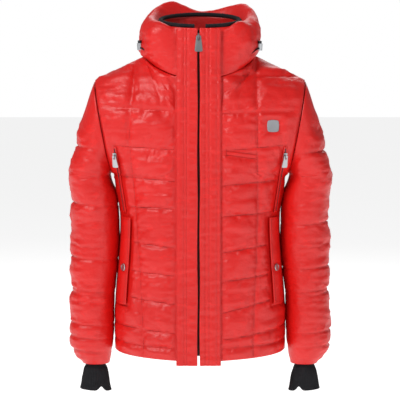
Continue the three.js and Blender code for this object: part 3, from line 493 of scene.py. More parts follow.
class Look:
    """The nodes of one material, or of the world, fed into its last node."""

    def __init__(self, owner, last="Principled BSDF"):
        self.owner = owner
        owner.use_nodes = True
        self.nodes, self.links = owner.node_tree.nodes, owner.node_tree.links
        self.last = self.nodes[last]

    def node(self, kind, settings, *values, out=0, into=None, **named):
        """Adds a node: its settings first, then its inputs by order, by number or by name."""
        made = self.nodes.new(kind)
        for key, value in settings.items():
            setattr(made, key, value)
        for number, value in zip(into or range(len(values)), values):
            self.feed(made.inputs[number], value)
        for key, value in named.items():
            self.feed(made.inputs[key], value)
        return Value(self, made.outputs[out])

    def feed(self, socket, value):
        if isinstance(value, Value):
            self.links.new(value.socket, socket)
        else:
            socket.default_value = value

    @functools.cached_property
    def place(self):
        return self.node("ShaderNodeTexCoord", {}, out="Object")

    def noise(self, scale, detail=3.0, stretch=(1, 1, 1), rough=0.5):
        at = self.node("ShaderNodeVectorMath", {"operation": "MULTIPLY"}, self.place, stretch)
        return self.node("ShaderNodeTexNoise", {}, Vector=at, Scale=scale, Detail=detail, Roughness=rough)

    def axis(self, name):
        return self.node("ShaderNodeSeparateXYZ", {}, self.place, out=name)

    def mix(self, share, a, b):
        """Colour between a and b."""
        return self.node("ShaderNodeMix", {"data_type": "RGBA"}, share, a, b, into=(0, 6, 7), out=2)

    def bump(self, height, strength, distance, **under):
        return self.node("ShaderNodeBump", {}, Strength=strength, Distance=distance, Height=height, **under)

    def finish(self, **named):
        for key, value in named.items():
            self.feed(self.last.inputs[key.replace("_", " ")], value)
        return self.owner


WHITE = (1.0, 1.0, 1.0, 1.0)


def shade(colour, factor):
    return tuple(c * factor for c in colour[:3]) + (1.0,)


def fabric_look(name, colour, roughness, crinkle, fine, gloss=0.5):
    """Woven cloth: crinkles, a fine weave, small random changes of tone and shine, and a painted highlight on
    the crinkles' crests.
    """
    look = Look(bpy.data.materials.new(name))
    creases_and_highlight = look.noise(26, 4, (1.0, 1.0, 2.2), 0.55)
    fibres = look.noise(260, 2)
    weave = (look.axis("X") * fine).sine() * (look.axis("Z") * fine).sine()
    bump = look.bump(creases_and_highlight + look.noise(62, 3, (1.4, 1, 0.7)) * 0.4, 0.55, crinkle)
    bump = look.bump(fibres + weave * 0.5, 0.25, 0.0003, Normal=bump)
    tone = look.mix(look.noise(7, 3), shade(colour, 0.88), shade(colour, 1.08))
    # Painted highlight: the colour is lifted towards a lighter red on the crinkles' crests, where light would
    # catch them.
    tone = look.mix((creases_and_highlight > 0.62) * 0.25, tone, shade(colour, 1.3))
    return look.finish(
        Base_Color=tone, Roughness=roughness + creases_and_highlight * 0.12, Normal=bump, Specular_IOR_Level=gloss,
    )


def knit_look(name, colour, rib):
    look = Look(bpy.data.materials.new(name))
    ribs = (look.axis("X") * rib).sine()
    loops = (look.axis("Z") * rib * 1.4).sine()
    bump = look.bump(ribs * 0.4 + loops * 0.3 + look.noise(400, 2), 0.6, 0.0006)
    tone = look.mix(look.noise(90, 3), shade(colour, 0.6), shade(colour, 1.8))
    return look.finish(
        Base_Color=tone, Roughness=0.92, Normal=bump, Sheen_Weight=0.04, Specular_IOR_Level=0.25,
    )


def metal_look(name, colour, roughness):
    look = Look(bpy.data.materials.new(name))
    scuffs = look.noise(140, 4, (1, 1, 0.15))
    tone = look.mix(scuffs, shade(colour, 0.7), shade(colour, 1.1))
    return look.finish(
        Base_Color=tone, Metallic=1.0, Roughness=roughness + scuffs * 0.2,
        Normal=look.bump(scuffs, 0.15, 0.0004),
    )


def plastic_look(name, colour, roughness=0.4):
    look = Look(bpy.data.materials.new(name))
    grain = look.noise(220, 3)
    tone = look.mix(look.noise(30, 2), shade(colour, 0.8), shade(colour, 1.3))
    return look.finish(
        Base_Color=tone, Roughness=roughness + grain * 0.15, Normal=look.bump(grain, 0.2, 0.0002),
    )


def floor_look(name, colour):
    look = Look(bpy.data.materials.new(name))
    tone = look.mix(look.noise(3, 2), shade(colour, 0.985), shade(colour, 1.0))
    return look.finish(Base_Color=tone, Roughness=0.9, Emission_Color=WHITE, Emission_Strength=0.72)


def looks():
    """The garment's materials, made once and then found again by name."""
    colours = bpy.context.scene.jacket_colours
    if "shell_nylon" not in bpy.data.materials:
        fabric_look("shell_nylon", colours.shell, 0.36, 0.0040, 5200, 0.55)
        fabric_look("lining_satin", colours.lining, 0.30, 0.0030, 7000, 0.6)
        fabric_look("wind_cloth", colours.lining, 0.45, 0.0015, 5200)
        # The thread is real, but its colour is darkened to a third of the shell's red as painted shade along
        # the seams.
        fabric_look("thread_with_painted_seam_shade", shade(colours.shell, 0.34), 0.6, 0.0002, 9000)
        knit_look("black_rib", colours.knit, 2600)
        fabric_look("zip_tape", colours.knit, 0.75, 0.0002, 6000, 0.3)
        metal_look("silver_metal_look", colours.metal, 0.24)
        plastic_look("tooth_plastic", colours.knit)
        plastic_look("patch_rubber", (0.30, 0.30, 0.32, 1.0), 0.5)
    return bpy.data.materials


# ---- Quilting: where the panels and sleeves are sewn down ------------------------------------
UPRIGHT = {
    -1: through((-0.013, 0.139), (-0.165, 0.152), (-0.321, 0.141), (-0.508, 0.128), (HEM_Z, 0.121)),
    1: through((-0.053, 0.122), (-0.268, 0.124), (-0.409, 0.123), (-0.537, 0.118), (HEM_Z, 0.115)),
}
ACROSS = {  # heights of each sewn line 60 mm and 180 mm out from the middle
    -1: ((-0.125, -0.117), (-0.207, -0.200), (-0.275, -0.266), (-0.335, -0.331), (-0.418, -0.405),
         (-0.478, -0.468), (-0.539, -0.525), (-0.600, -0.592)),
    1: ((-0.048, -0.050), (-0.130, -0.126), (-0.209, -0.199), (-0.284, -0.274), (-0.350, -0.343),
        (-0.427, -0.409), (-0.490, -0.474), (-0.556, -0.528), (-0.612, -0.598)),
}
HEM_BAND, HEM_DIP = 0.026, 0.009
SEWN_REACH = 0.0022  # points this near a sewn line are held while the cloth swells
GATHER, CROWN, CROWN_WIDTH, GROOVE, GROOVE_WIDTH = 0.0056, 0.0024, 0.004, 0.0020, 0.0030
BACK_LINES = tuple(-0.060 - 0.075 * i for i in range(8))
BACK_UPRIGHT = through((-0.06, 0.100), (CHEST_Z, 0.118), (WAIST_Z, 0.100), (HEM_Z, 0.112))
SLEEVE_LINES = {
    -1: (-0.205, -0.330, -0.450, -0.595, -0.625, -0.655),
    1: (-0.215, -0.372, -0.470, -0.612, -0.644),
}
FOREARM_SLOPE = 0.10
POCKET_TOP_X, POCKET_LOW_X, POCKET_TOP_Z, POCKET_LENGTH = 0.184, 0.163, -0.206, 0.140
POCKET_STRIP, STRIP_THICK = 0.011, 0.0015
FLAP_TOP_Z, FLAP_LENGTH, FLAP_THICK, FLAP_LIFT = -0.356, 0.190, 0.002, 0.004
FLAP_FREE, FLAP_SEWN = 0.845, 0.985
SNAP_DROP, SNAP_REST = 0.110, 0.0095
POCKET_PITCH, POCKET_TOOTH = 0.0018, (0.0028, 0.0008, 0.0011)
WELT_X, WELT_Z, WELT_LENGTH, WELT_FALL, WELT_HEIGHT = 0.056, -0.214, 0.066, 0.009, 0.007
BADGE_X, BADGE_Z, BADGE_SIZE = 0.157, -0.157, 0.026


def pocket_x(z):
    return lerp(POCKET_TOP_X, POCKET_LOW_X, (POCKET_TOP_Z - z) / POCKET_LENGTH)


def flap_x(u, z):
    return lerp(FLAP_FREE, FLAP_SEWN, u) * body_half(z)


def across_height(side, line, x):
    inner, outer = ACROSS[side][line]
    return lerp(inner, outer, (x - 0.060) / 0.120)


def front_seams(side, x, z):
    """Distance to the nearest sewn line or trimmed place on a front panel."""
    near = [np.abs(x - UPRIGHT[side](z)), np.abs(z - (HEM_Z + HEM_BAND))]
    near += [np.abs(z - across_height(side, i, x)) for i in range(len(ACROSS[side]))]
    near.append(x - start_of(side) - PLACKET_WIDTH - 0.002)
    strip = np.maximum(np.abs(x - pocket_x(z)) - 0.006, np.abs(z - POCKET_TOP_Z + POCKET_LENGTH / 2) - 0.076)
    cover = np.maximum(flap_x(0, z) - x - 0.002, np.abs(z - FLAP_TOP_Z + FLAP_LENGTH / 2) - 0.098)
    near += [strip, cover]
    if side > 0:
        near.append(np.maximum(np.abs(x - BADGE_X), np.abs(z - BADGE_Z)) - BADGE_SIZE / 2 - 0.001)
        lean = WELT_Z - (x - WELT_X) / WELT_LENGTH * WELT_FALL
        near.append(np.maximum(np.abs(x - WELT_X - WELT_LENGTH / 2) - 0.036, np.abs(z - lean) - 0.006))
    trims = np.min(near[len(ACROSS[side]) + 2:], axis=0)
    return np.maximum(0, np.min(near, axis=0)), np.clip(trims / 0.004, 0, 1)


def fill_out(z):
    """Swell of body and sleeve towards each other, most just below the underarm."""
    return (0.0038 + 0.0016 * np.exp(-((z + 0.315) / 0.04) ** 2)) * smooth((UNDERARM_Z - 0.008 - z) / 0.03)


def side_swell(z, u):
    """How far the body's side fills out towards the hanging sleeve."""
    return fill_out(z) * smooth((u - 0.82) / 0.18)


def side_calm(z, u):
    """Share of the puff that is left where the body lies beside a hanging sleeve."""
    return 1 - 0.8 * smooth((u - 0.78) / 0.18) * smooth((UNDERARM_Z + 0.02 - z) / 0.03)


def hem_dip(x, z):
    """How far the hem drops towards the middle of the front."""
    return HEM_DIP * np.clip(1 - np.abs(x) / 0.17, 0, 1) * smooth((HEM_Z + 0.09 - z) / 0.09)


def back_seams(x, z):
    near = [np.abs(x - BACK_UPRIGHT(z)), np.abs(z - (HEM_Z + HEM_BAND))]
    near += [np.abs(z - line - 0.05 * x * x) for line in BACK_LINES]
    return np.min(near, axis=0)


def sleeve_seams(side, points):
    z = points[..., 2]
    out = points[..., 0] - SWING_X
    near = [np.abs(z - (FOREARM_Z + 0.012 - FOREARM_SLOPE * (0.05 - out) + gap)) for gap in (0, 0.009)]
    near += [np.abs(z - line - 0.08 * (out - 0.05)) for line in SLEEVE_LINES[side]]
    return np.min(near, axis=0)


def pinned(distance, edge):
    """Sewn points: on the seams, and round the grid's edges."""
    pins = (distance < SEWN_REACH).astype(float)
    if edge:
        pins[:, 0] = pins[:, -1] = 1
    pins[0] = pins[-1] = 1
    return pins


def gathers(points, distance, height, seed):
    """Puckers that fade away from a seam, and the long soft folds between seams."""
    fine = waves(points, (75, 75, 60), seed, 2)
    long_folds = waves(points, (9, 12, 42), seed + 3, 3)
    near = np.exp(-distance / 0.012) * (1 - np.exp(-distance / 0.0025))
    return height * (0.55 * fine * near + 0.75 * long_folds * (1 - np.exp(-distance / 0.008)))


def ramp_in(count):
    """Shares that rise from 0 at both ends of a row of points to 1 at the fifth point."""
    place = np.arange(count)
    return np.clip(np.minimum(place, place[::-1]) / 4, 0, 1)


def quilt(points, distance, cap, seed, wrap=False, mask=1.0, sign=1):
    """Outer surface of quilted cloth: swelled, gathered, and creased along its seams."""
    normals = outward(points, wrap) * sign
    pins = pinned(distance, not wrap)
    turned = slice(None, None, sign)
    swelled = puffed(points[:, turned], pins[:, turned], cap, wrap)[:, turned]
    lift = gathers(points, distance, GATHER, seed) + CROWN * (1 - np.exp(-distance / CROWN_WIDTH))
    lift -= GROOVE * np.exp(-(distance / GROOVE_WIDTH) ** 2)
    edge = ramp_in(points.shape[0])[:, None] * (1 if wrap else ramp_in(points.shape[1])[None, :])
    share = (edge * mask)[..., None]
    return points + (swelled - points) * share + normals * lift[..., None] * share


# ---- Settings -------------------------------------------------------------------------------
def length(name, description, default, low, high):
    return bpy.props.FloatProperty(
        name=name, description=description, default=default, min=low, max=high,
        subtype="DISTANCE", unit="LENGTH",
    )


def colour(name, description, *default):
    return bpy.props.FloatVectorProperty(
        name=name, description=description, default=(*default, 1.0), size=4, min=0.0, max=1.0,
        subtype="COLOR",
    )


class JacketSizes(bpy.types.PropertyGroup):
    puff: length("Quilt puff", "Most that the padding swells between seams", 0.0085, 0.0, 0.02)
    cell: length("Cloth cell", "Spacing of the cloth's grid", 0.0036, 0.002, 0.01)
    stitch: length("Stitch length", "Visible length of a topstitch", 0.0026, 0.001, 0.01)
    thread: length("Thread thickness", "Thickness of the sewing thread", 0.0007, 0.0002, 0.002)
    tooth: length("Tooth pitch", "Distance from one zip tooth to the next", 0.0025, 0.001, 0.01)
    ribs: bpy.props.IntProperty(
        name="Gaiter ribs", description="Knitted ribs round a wrist gaiter", default=56, min=12, max=120,
    )


class JacketColours(bpy.types.PropertyGroup):
    shell: colour("Shell", "Outer fabric", 0.74, 0.008, 0.006)
    lining: colour("Lining", "Lining fabric", 0.58, 0.014, 0.012)
    knit: colour("Knit", "Binding, gaiters and zip tapes", 0.011, 0.011, 0.013)
    metal: colour("Metal", "Zip sliders, snaps and cord locks", 0.52, 0.53, 0.55)


def sizes():
    return bpy.context.scene.jacket_sizes


def dress(obj, body, slot, *nodes):
    """Hangs a finished piece on the body it rides on, and hides the nodes it stands for; its slot is not
    used.
    """
    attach(obj, body)
    if nodes:
        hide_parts(*nodes)
    return obj


def solid(name, outer, inner, look, slot, *nodes, body="root", wrap=False, edge=0.0):
    """Closed piece between two grids, with an edge rolled to a width if it has one."""
    piece = new_object(name, *walled(outer, inner, wrap), looks()[look])
    if edge:
        bevel = piece.modifiers.new("Rolled edge", "BEVEL")
        bevel.width, bevel.segments, bevel.limit_method, bevel.angle_limit = edge, 2, "ANGLE", 0.7
    return dress(piece, body, slot, *nodes)


# ---- Pieces ---------------------------------------------------------------------------------
LINING_EDGE, LINING_CLEAR = 1 / 7, 0.06  # where the lining starts, and how soon the wadding is full
BAG_ACROSS, BAG_UP = (2 / 7, 6 / 7), (4 / 11, 8 / 11)
BAG_OFF, BAG_THICK = 0.0077, 0.0018
FRONT_LENGTH, BACK_LENGTH, PANEL_WIDTH = 0.64, 0.66, 0.235  # of cloth, for the grids' cells


class JACKET_OT_fronts(bpy.types.Operator):
    """Build both quilted front panels, their linings and their pocket bags"""
    bl_idname = "jacket.fronts"
    bl_label = "Front panels"

    def execute(self, context):
        cell = sizes().cell
        v, u = axes(round(FRONT_LENGTH / cell), round(PANEL_WIDTH / cell))
        bag_v, bag_u = axes(40, 40)
        for name, side in SIDES:
            start = start_of(side)
            base = panel_at(1, start, u, v, 0)
            distance, clear = front_seams(side, base[..., 0], base[..., 2])
            base[..., 0] += side_swell(base[..., 2], u)
            outer = quilt(base, distance, sizes().puff, 3 + side, mask=clear * side_calm(base[..., 2], u))
            thick = lerp(EDGE_THICK, SHELL_THICK, smooth((u - LINING_EDGE) / LINING_CLEAR))
            inner = panel_at(1, start, u, v, thick)
            for face in (outer, inner):
                face[..., 2] -= hem_dip(face[..., 0], face[..., 2])
            solid(
                f"front_{name}_quilt", mirrored(outer, side), mirrored(inner, side), "shell_nylon",
                "shell_fabric", f"front_{name}_shell", f"front_{name}_wadding",
            )
            share = lerp(LINING_EDGE, 1, u)
            near, far = (
                mirrored(panel_at(1, start, share, v, LINING_OFF + t), side) for t in (0, LINING_WALL)
            )
            fall = waves(far, (22, 22, 9), 5 + side)[..., None] * outward(far) * 0.0006
            solid(
                f"front_{name}_inside", near, far + fall, "lining_satin", "lining_fabric",
                f"front_{name}_lining",
            )
            across, up = lerp(*BAG_ACROSS, bag_u), lerp(*BAG_UP, bag_v)
            bag = [mirrored(panel_at(1, start, across, up, BAG_OFF + t), side) for t in (0, BAG_THICK)]
            solid(f"pocket_{name}_pouch", *bag, "lining_satin", "lining_fabric", f"pocket_bag_{name}")
        return {"FINISHED"}


class JACKET_OT_back(bpy.types.Operator):
    """Build the quilted back panel and its lining"""
    bl_idname = "jacket.back"
    bl_label = "Back panel"

    def execute(self, context):
        cell = sizes().cell * 1.15
        v, u = axes(round(BACK_LENGTH / cell), 2 * round(PANEL_WIDTH / cell) + 1)
        s = 2 * u - 1
        side = np.where(s < 0, -1.0, 1.0)

        def back_at(off):
            p = panel_at(-1, 0, np.abs(s), v, off)
            p[..., 0] = (p[..., 0] + side_swell(p[..., 2], np.abs(s))) * side
            return p

        base = back_at(0)
        distance = back_seams(np.abs(base[..., 0]), base[..., 2])
        calm = side_calm(base[..., 2], np.abs(s))
        outer = quilt(base, distance, sizes().puff, 9, mask=calm, sign=-1)
        solid(
            "back_quilt", outer, back_at(SHELL_THICK), "shell_nylon", "shell_fabric",
            "back_shell", "back_wadding",
        )
        solid(
            "back_inside", back_at(LINING_OFF), back_at(LINING_OFF + LINING_WALL), "lining_satin",
            "lining_fabric", "back_lining",
        )
        return {"FINISHED"}


class JACKET_OT_sleeves(bpy.types.Operator):
    """Build both padded sleeves, from the armhole seam down to the cuff"""
    bl_idname = "jacket.sleeves"
    bl_label = "Sleeves"

    def execute(self, context):
        cell = sizes().cell
        around, head, tube = round(0.27 / cell), 52, round((UNDERARM_Z - SLEEVE_END_Z) / cell)
        phi = np.arange(around) * 2 * math.pi / around
        turns = np.linspace(ARM_TURN - 0.012, 0, head, endpoint=False)
        heights = np.linspace(UNDERARM_Z, SLEEVE_END_Z, tube)

        def sleeve_at(off):
            t, p = np.meshgrid(turns, phi, indexing="ij")
            z, q = np.meshgrid(heights, phi, indexing="ij")
            low = tube_point(z, q, off)
            low[..., 0] -= fill_out(z) * smooth(-np.cos(q) / 0.9)
            return np.concatenate([head_point(t, p, off), low])

        for name, side in SIDES:
            base = sleeve_at(0)
            distance = sleeve_seams(side, base)
            mask = lerp(0.16, 1.0, smooth((np.cos(phi) + 1.0) / 1.1))[None, :]
            mask = mask * smooth((np.arange(head + tube) - 4) / 14)[:, None]
            mask = mask * lerp(0.4, 1, smooth((base[..., 2] - SLEEVE_END_Z) / 0.02))
            outer = quilt(base, distance, sizes().puff, 20 + side, wrap=True, mask=mask)
            verts, faces = walled(mirrored(outer, side), mirrored(sleeve_at(SLEEVE_WALL), side), wrap=True)
            piece = new_object(f"sleeve_{name}_quilt", verts, faces, looks()["shell_nylon"])
            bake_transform(piece)
            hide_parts(*(f"sleeve_{part}_{name}" for part in ("head", "bend", "upper", "lower")))
        return {"FINISHED"}


class JACKET_OT_gaiters(bpy.types.Operator):
    """Build the ribbed wrist gaiters inside the sleeve ends"""
    bl_idname = "jacket.gaiters"
    bl_label = "Wrist gaiters"

    def execute(self, context):
        ribs = sizes().ribs
        around, along = ribs * 5, 44
        phi = np.arange(around) * 2 * math.pi / around
        t, q = np.meshgrid(np.linspace(0, 1, along), phi, indexing="ij")
        lowest = GAITER_END_Z + 0.003 + 0.003 * np.cos(q - 0.6) + 0.010 * np.exp(-((q - 2.0) / 0.22) ** 2)
        z = np.where(t < 0.25, lerp(SLEEVE_END_Z + GAITER_TUCK, SLEEVE_END_Z, t / 0.25),
                     lerp(SLEEVE_END_Z, lowest, (t - 0.25) / 0.75))
        rib = (0.0005 * np.cos(q * ribs) - 0.0004) * smooth((SLEEVE_END_Z - 0.002 - z) / 0.006)
        for name, side in SIDES:
            fold = 0.0014 * waves(gaiter_point(z, q, 0.0), (40, 40, 30), 31 + side)
            fold *= smooth((SLEEVE_END_Z - z) / 0.02)
            outer, inner = (mirrored(gaiter_point(z, q, t - rib - fold), side) for t in (0, GAITER_WALL))
            solid(
                f"gaiter_{name}_rib", outer, inner, "black_rib", "black_knit", f"gaiter_{name}",
                body=f"sleeve_{name}", wrap=True,
            )
        return {"FINISHED"}


HOOD_HUMPS = ((-0.21, 0.15, 0.034), (0.28, 0.16, 0.028), (-0.02, 0.08, -0.006))  # place, width, height


class JACKET_OT_collar(bpy.types.Operator):
    """Build the stand collar, the hood rolled in it, its lining and the bound edge"""
    bl_idname = "jacket.collar"
    bl_label = "Collar and hood"

    def execute(self, context):
        self.shell_and_lining()
        self.hood()
        self.binding()
        return {"FINISHED"}

    @staticmethod
    def shell_and_lining():
        v, u = axes(46, 260)
        s = 2 * u - 1
        full = smooth((math.pi * (1 - np.abs(s)) - FRONT_FLAT) / 0.6)
        folds = 0.006 * waves(collar_at(s, v, 0), (20, 20, 34), 41, 3) * (1 - 0.6 * v)
        rolls = 0.003 * np.sin(s * 15 + 2.2 * v) * smooth(v * 2 - 0.4)
        puff = full * smooth(np.minimum(v, 1 - v) * 0.12 / 0.02) * (0.006 + folds + rolls)
        crown = full * np.sin(math.pi * np.clip((v - 0.45) / 0.55, 0, 1)) ** 1.5
        rise = crown * sum(
            height * np.exp(-((s - middle) / width) ** 2) for middle, width, height in HOOD_HUMPS
        )
        outer, inner = collar_at(s, v, -puff), collar_at(s, v, COLLAR_WALL)
        outer[..., 2] += rise
        inner[..., 2] += rise * 0.9
        solid("collar_quilt", outer, inner, "shell_nylon", "shell_fabric", "collar_shell")
        v, u = axes(30, 180)
        s = (2 * u - 1) * 0.9
        wall = collar_at(s, v, 0, lining_point)
        drape = 0.0011 * (waves(wall, (60, 60, 9), 47, 3) + 1) * np.sin(math.pi * v)
        cloth = collar_at(s, v, LINING_WALL + drape, lining_point)
        solid("collar_inside", wall, cloth, "lining_satin", "lining_fabric", "collar_lining")

    @staticmethod
    def hood():
        """The hood rolled up between the collar and its lining."""
        v, u = axes(24, 150)
        s, w = (2 * u - 1) * 0.7, lerp(0.2, 0.8, v)
        near, far = collar_at(s, w, COLLAR_WALL + GAP), collar_at(s, w, -GAP, lining_point)
        span = np.linalg.norm(near - far, axis=-1, keepdims=True)
        roll = lerp(near, far, np.minimum(0.7, 0.012 / span))
        solid("hood_bundle", near, roll, "shell_nylon", "shell_fabric", "hood_roll")

    @staticmethod
    def binding():
        """The knitted tube round the collar's top edge."""
        s = np.linspace(-0.955, 0.955, 260)
        alpha, up = math.pi * (1 - np.abs(s)), np.array([0, 0, 1.0])
        middle, out = opening_point(alpha), radial(alpha)
        for line in (middle, out):
            line[:, 0] *= np.where(s < 0, -1, 1)
        turn = np.linspace(0, 2 * math.pi, 16, endpoint=False)[None, :, None]
        middle = middle - out * 0.0036 + up * 0.0040
        high = 0.0044 + 0.0003 * np.sin(np.arange(len(s)) * 1.9)[:, None, None]
        rings = middle[:, None] + 0.0050 * np.cos(turn) * out[:, None] + high * np.sin(turn) * up
        dress(tube_object("collar_edge", rings, looks()["black_rib"]), "root", "black_knit", "collar_binding")


# ---- Rows of small parts: stitches and zip teeth ----------------------------------------------
def row_tree(kind):
    """Geometry Nodes tree that sets small parts along every path, by a named pitch and size."""
    name = f"{kind} row"
    if name in bpy.data.node_groups:
        return bpy.data.node_groups[name]
    tree = bpy.data.node_groups.new(name, "GeometryNodeTree")
    tree.interface.new_socket("Paths", in_out="INPUT", socket_type="NodeSocketGeometry")
    for label, socket_type, value in (
        ("Pitch", "NodeSocketFloat", 0.0035), ("Size", "NodeSocketVector", (0.001, 0.001, 0.001)),
        ("Unevenness", "NodeSocketFloat", 0.1), ("Finish", "NodeSocketMaterial", None),
    ):
        made = tree.interface.new_socket(label, in_out="INPUT", socket_type=socket_type)
        if value is not None:
            made.default_value = value
    tree.interface.new_socket("Parts", in_out="OUTPUT", socket_type="NodeSocketGeometry")

    def add(node_type, settings=(), **values):
        node = tree.nodes.new(node_type)
        for key, value in dict(settings).items():
            setattr(node, key, value)
        for key, value in values.items():
            node.inputs[key].default_value = value
        return node

    entry, leave = add("NodeGroupInput"), add("NodeGroupOutput")
    curve, points = add("GeometryNodeMeshToCurve"), add("GeometryNodeCurveToPoints", {"mode": "LENGTH"})
    place, real = add("GeometryNodeInstanceOnPoints"), add("GeometryNodeRealizeInstances")
    paint, scale = add("GeometryNodeSetMaterial"), add("ShaderNodeVectorMath", {"operation": "SCALE"})
    vary = add("FunctionNodeRandomValue", {"data_type": "FLOAT"}, Seed=7)
    less = add("ShaderNodeMath", {"operation": "SUBTRACT"})
    less.inputs[0].default_value = vary.inputs[3].default_value = 1.0
    if kind == "stitch":
        part = add("GeometryNodeMeshIcoSphere", Subdivisions=1, Radius=0.5)
        tree.links.new(points.outputs["Rotation"], place.inputs["Rotation"])
    else:
        part = add("GeometryNodeMeshCube")
    for a, out, b, into in (
        (entry, "Paths", curve, "Mesh"), (curve, "Curve", points, "Curve"),
        (entry, "Pitch", points, "Length"), (entry, "Unevenness", less, 1), (less, 0, vary, 2),
        (entry, "Size", scale, 0), (vary, 1, scale, "Scale"), (part, "Mesh", place, "Instance"),
        (points, "Points", place, "Points"), (scale, "Vector", place, "Scale"),
        (place, "Instances", real, "Geometry"), (real, "Geometry", paint, "Geometry"),
        (entry, "Finish", paint, "Material"), (paint, "Geometry", leave, "Parts"),
    ):
        tree.links.new(a.outputs[out], b.inputs[into])
    return tree


def rows_of(kind, name, paths, pitch, size, finish, body, slot, *nodes, uneven=0.1):
    """Plain mesh of small parts along paths, one for each body."""
    verts = np.concatenate(paths) - LOOP
    edges, first = [], 0
    for path in paths:
        edges += [(first + i, first + i + 1) for i in range(len(path) - 1)]
        first += len(path)
    guide = bpy.data.meshes.new(f"{name}_guide")
    guide.from_pydata(verts.tolist(), edges, [])
    obj = bpy.data.objects.new(name, guide)
    bpy.context.scene.collection.objects.link(obj)
    tree = row_tree(kind)
    modifier = obj.modifiers.new("Rows", "NODES")
    modifier.node_group = tree
    values = {"Pitch": pitch, "Size": size, "Unevenness": uneven, "Finish": finish}
    for item in tree.interface.items_tree:
        if item.in_out == "INPUT" and item.name in values:
            modifier[item.identifier] = values[item.name]
    made = bpy.data.meshes.new_from_object(obj.evaluated_get(bpy.context.evaluated_depsgraph_get()))
    obj.modifiers.clear()
    obj.data = made
    made.name = name
    bpy.data.meshes.remove(guide)
    made.polygons.foreach_set("use_smooth", [kind == "stitch"] * len(made.polygons))
    return dress(obj, body, slot, *nodes)


def stitches(name, paths, body="root"):
    pitch, thread = sizes().stitch * 1.35, sizes().thread
    size = (thread, thread, sizes().stitch)
    return rows_of("stitch", name, paths, pitch, size, looks()["thread_with_painted_seam_shade"], body, "shell_fabric")


def teeth(name, path, pitch, size, *nodes):
    look = looks()["tooth_plastic"]
    return rows_of("tooth", name, [path], pitch, size, look, "root", "zip_teeth", *nodes, uneven=0.0)


PLACKET_ROWS = {-1: (0.0225, 0.0285, 0.0435), 1: (0.0095, 0.0125, 0.0195, 0.0365, 0.0435)}
PLACKET_TOP, PLACKET_THICK = COLLAR_FRONT_Z, 0.003
CHAIN_OFF, CHAIN_THICK, CHAIN_HALF, TAPE_WIDTH, TAPE_THICK = 0.005, 0.0022, 0.0029, 0.014, 0.001
ZIP_TOP, ZIP_BOTTOM, WIND_FLAP_HALF = COLLAR_FRONT_Z - 0.008, HEM_Z + 0.004, 0.017


def placket_surface(side, x, z, lift=0.0):
    """Outer face of a placket, puckered between its stitch rows."""
    sewn = np.min([np.abs(x - row) for row in PLACKET_ROWS[side]], axis=0)
    base = front_strip(side * (x + ZIP_SLOT), z, -2 * GAP - PLACKET_THICK)
    pucker = waves(stack(x, 0 * x, z), (30, 1, 95), 60 + side, 2)
    edge = np.clip(np.minimum(x, PLACKET_WIDTH - x) / 0.003, 0, 1)
    rise = 0.0016 * (1 - np.exp(-(sewn / 0.0026) ** 2)) * edge + 0.0011 * pucker * edge
    wander = -side * 0.0016 * (0.6 + 0.4 * np.sin(z * 31 + side)) * np.clip(1 - x / 0.012, 0, 1)
    return base - stack(-wander, rise + lift, 0)


class JACKET_OT_closure(bpy.types.Operator):
    """Build the plackets, the main zip's tapes and teeth, and the wind flap"""
    bl_idname = "jacket.closure"
    bl_label = "Front closure"

    def execute(self, context):
        for name, side in SIDES:
            v, u = axes(240, 31)
            z, x = lerp(HEM_Z - PLACKET_DROP, PLACKET_TOP, v), u * PLACKET_WIDTH
            outer, back = placket_surface(side, x, z), front_strip(side * (x + ZIP_SLOT), z, -2 * GAP)
            solid(
                f"placket_{name}_cloth", outer, back, "shell_nylon", "shell_fabric", f"placket_{name}",
                edge=0.0009,
            )
            run = np.linspace(HEM_Z - PLACKET_DROP + 0.004, PLACKET_TOP - 0.003, 260)
            stitches(f"placket_{name}_stitches", [
                placket_surface(side, np.full_like(run, row), run, 0.0001) for row in PLACKET_ROWS[side]
            ])
            v, u = axes(120, 6)
            z = lerp(ZIP_BOTTOM, ZIP_TOP, v)
            x = side * lerp(CHAIN_HALF + GAP, CHAIN_HALF + TAPE_WIDTH, u)
            low = CHAIN_OFF + CHAIN_THICK
            solid(
                f"zip_tape_{name}_cloth", front_strip(x, z, low - TAPE_THICK), front_strip(x, z, low),
                "zip_tape", "black_tape", f"zip_tape_{name}",
            )
            pitch = sizes().tooth
            run = np.linspace(ZIP_BOTTOM + 0.014 + pitch / 4 * (1 + side), ZIP_TOP, 60)
            x = np.full_like(run, side * (CHAIN_HALF + GAP) / 2)
            teeth(
                f"zip_teeth_{name}", front_strip(x, run, CHAIN_OFF + CHAIN_THICK / 2), pitch,
                (CHAIN_HALF - GAP, CHAIN_THICK * 0.9, pitch * 0.55), f"zip_chain_{name}",
            )
        v, u = axes(160, 12)
        z, x = lerp(ZIP_BOTTOM, PLACKET_TOP - 0.004, v), lerp(-WIND_FLAP_HALF, WIND_FLAP_HALF, u)
        off = CHAIN_OFF + CHAIN_THICK + GAP
        solid(
            "wind_flap_cloth", front_strip(x, z, off), front_strip(x, z, off + LINING_WALL),
            "zip_tape", "lining_fabric", "wind_flap",
        )
        return {"FINISHED"}


def patch(side, x, z, low, high):
    """Two grids on a front panel, the outer one at high."""
    return on_front(side, x, z, high), on_front(side, x, z, low)


def border(u, v, across, along):
    """Share that rises from 0 at a piece's edges, at its own rate each way."""
    return np.clip(np.minimum(np.minimum(u, 1 - u) * across, np.minimum(v, 1 - v) * along), 0, 1)


def flap_off(u):
    return -3 * GAP - FLAP_LIFT * smooth((1 - u) / 0.55)


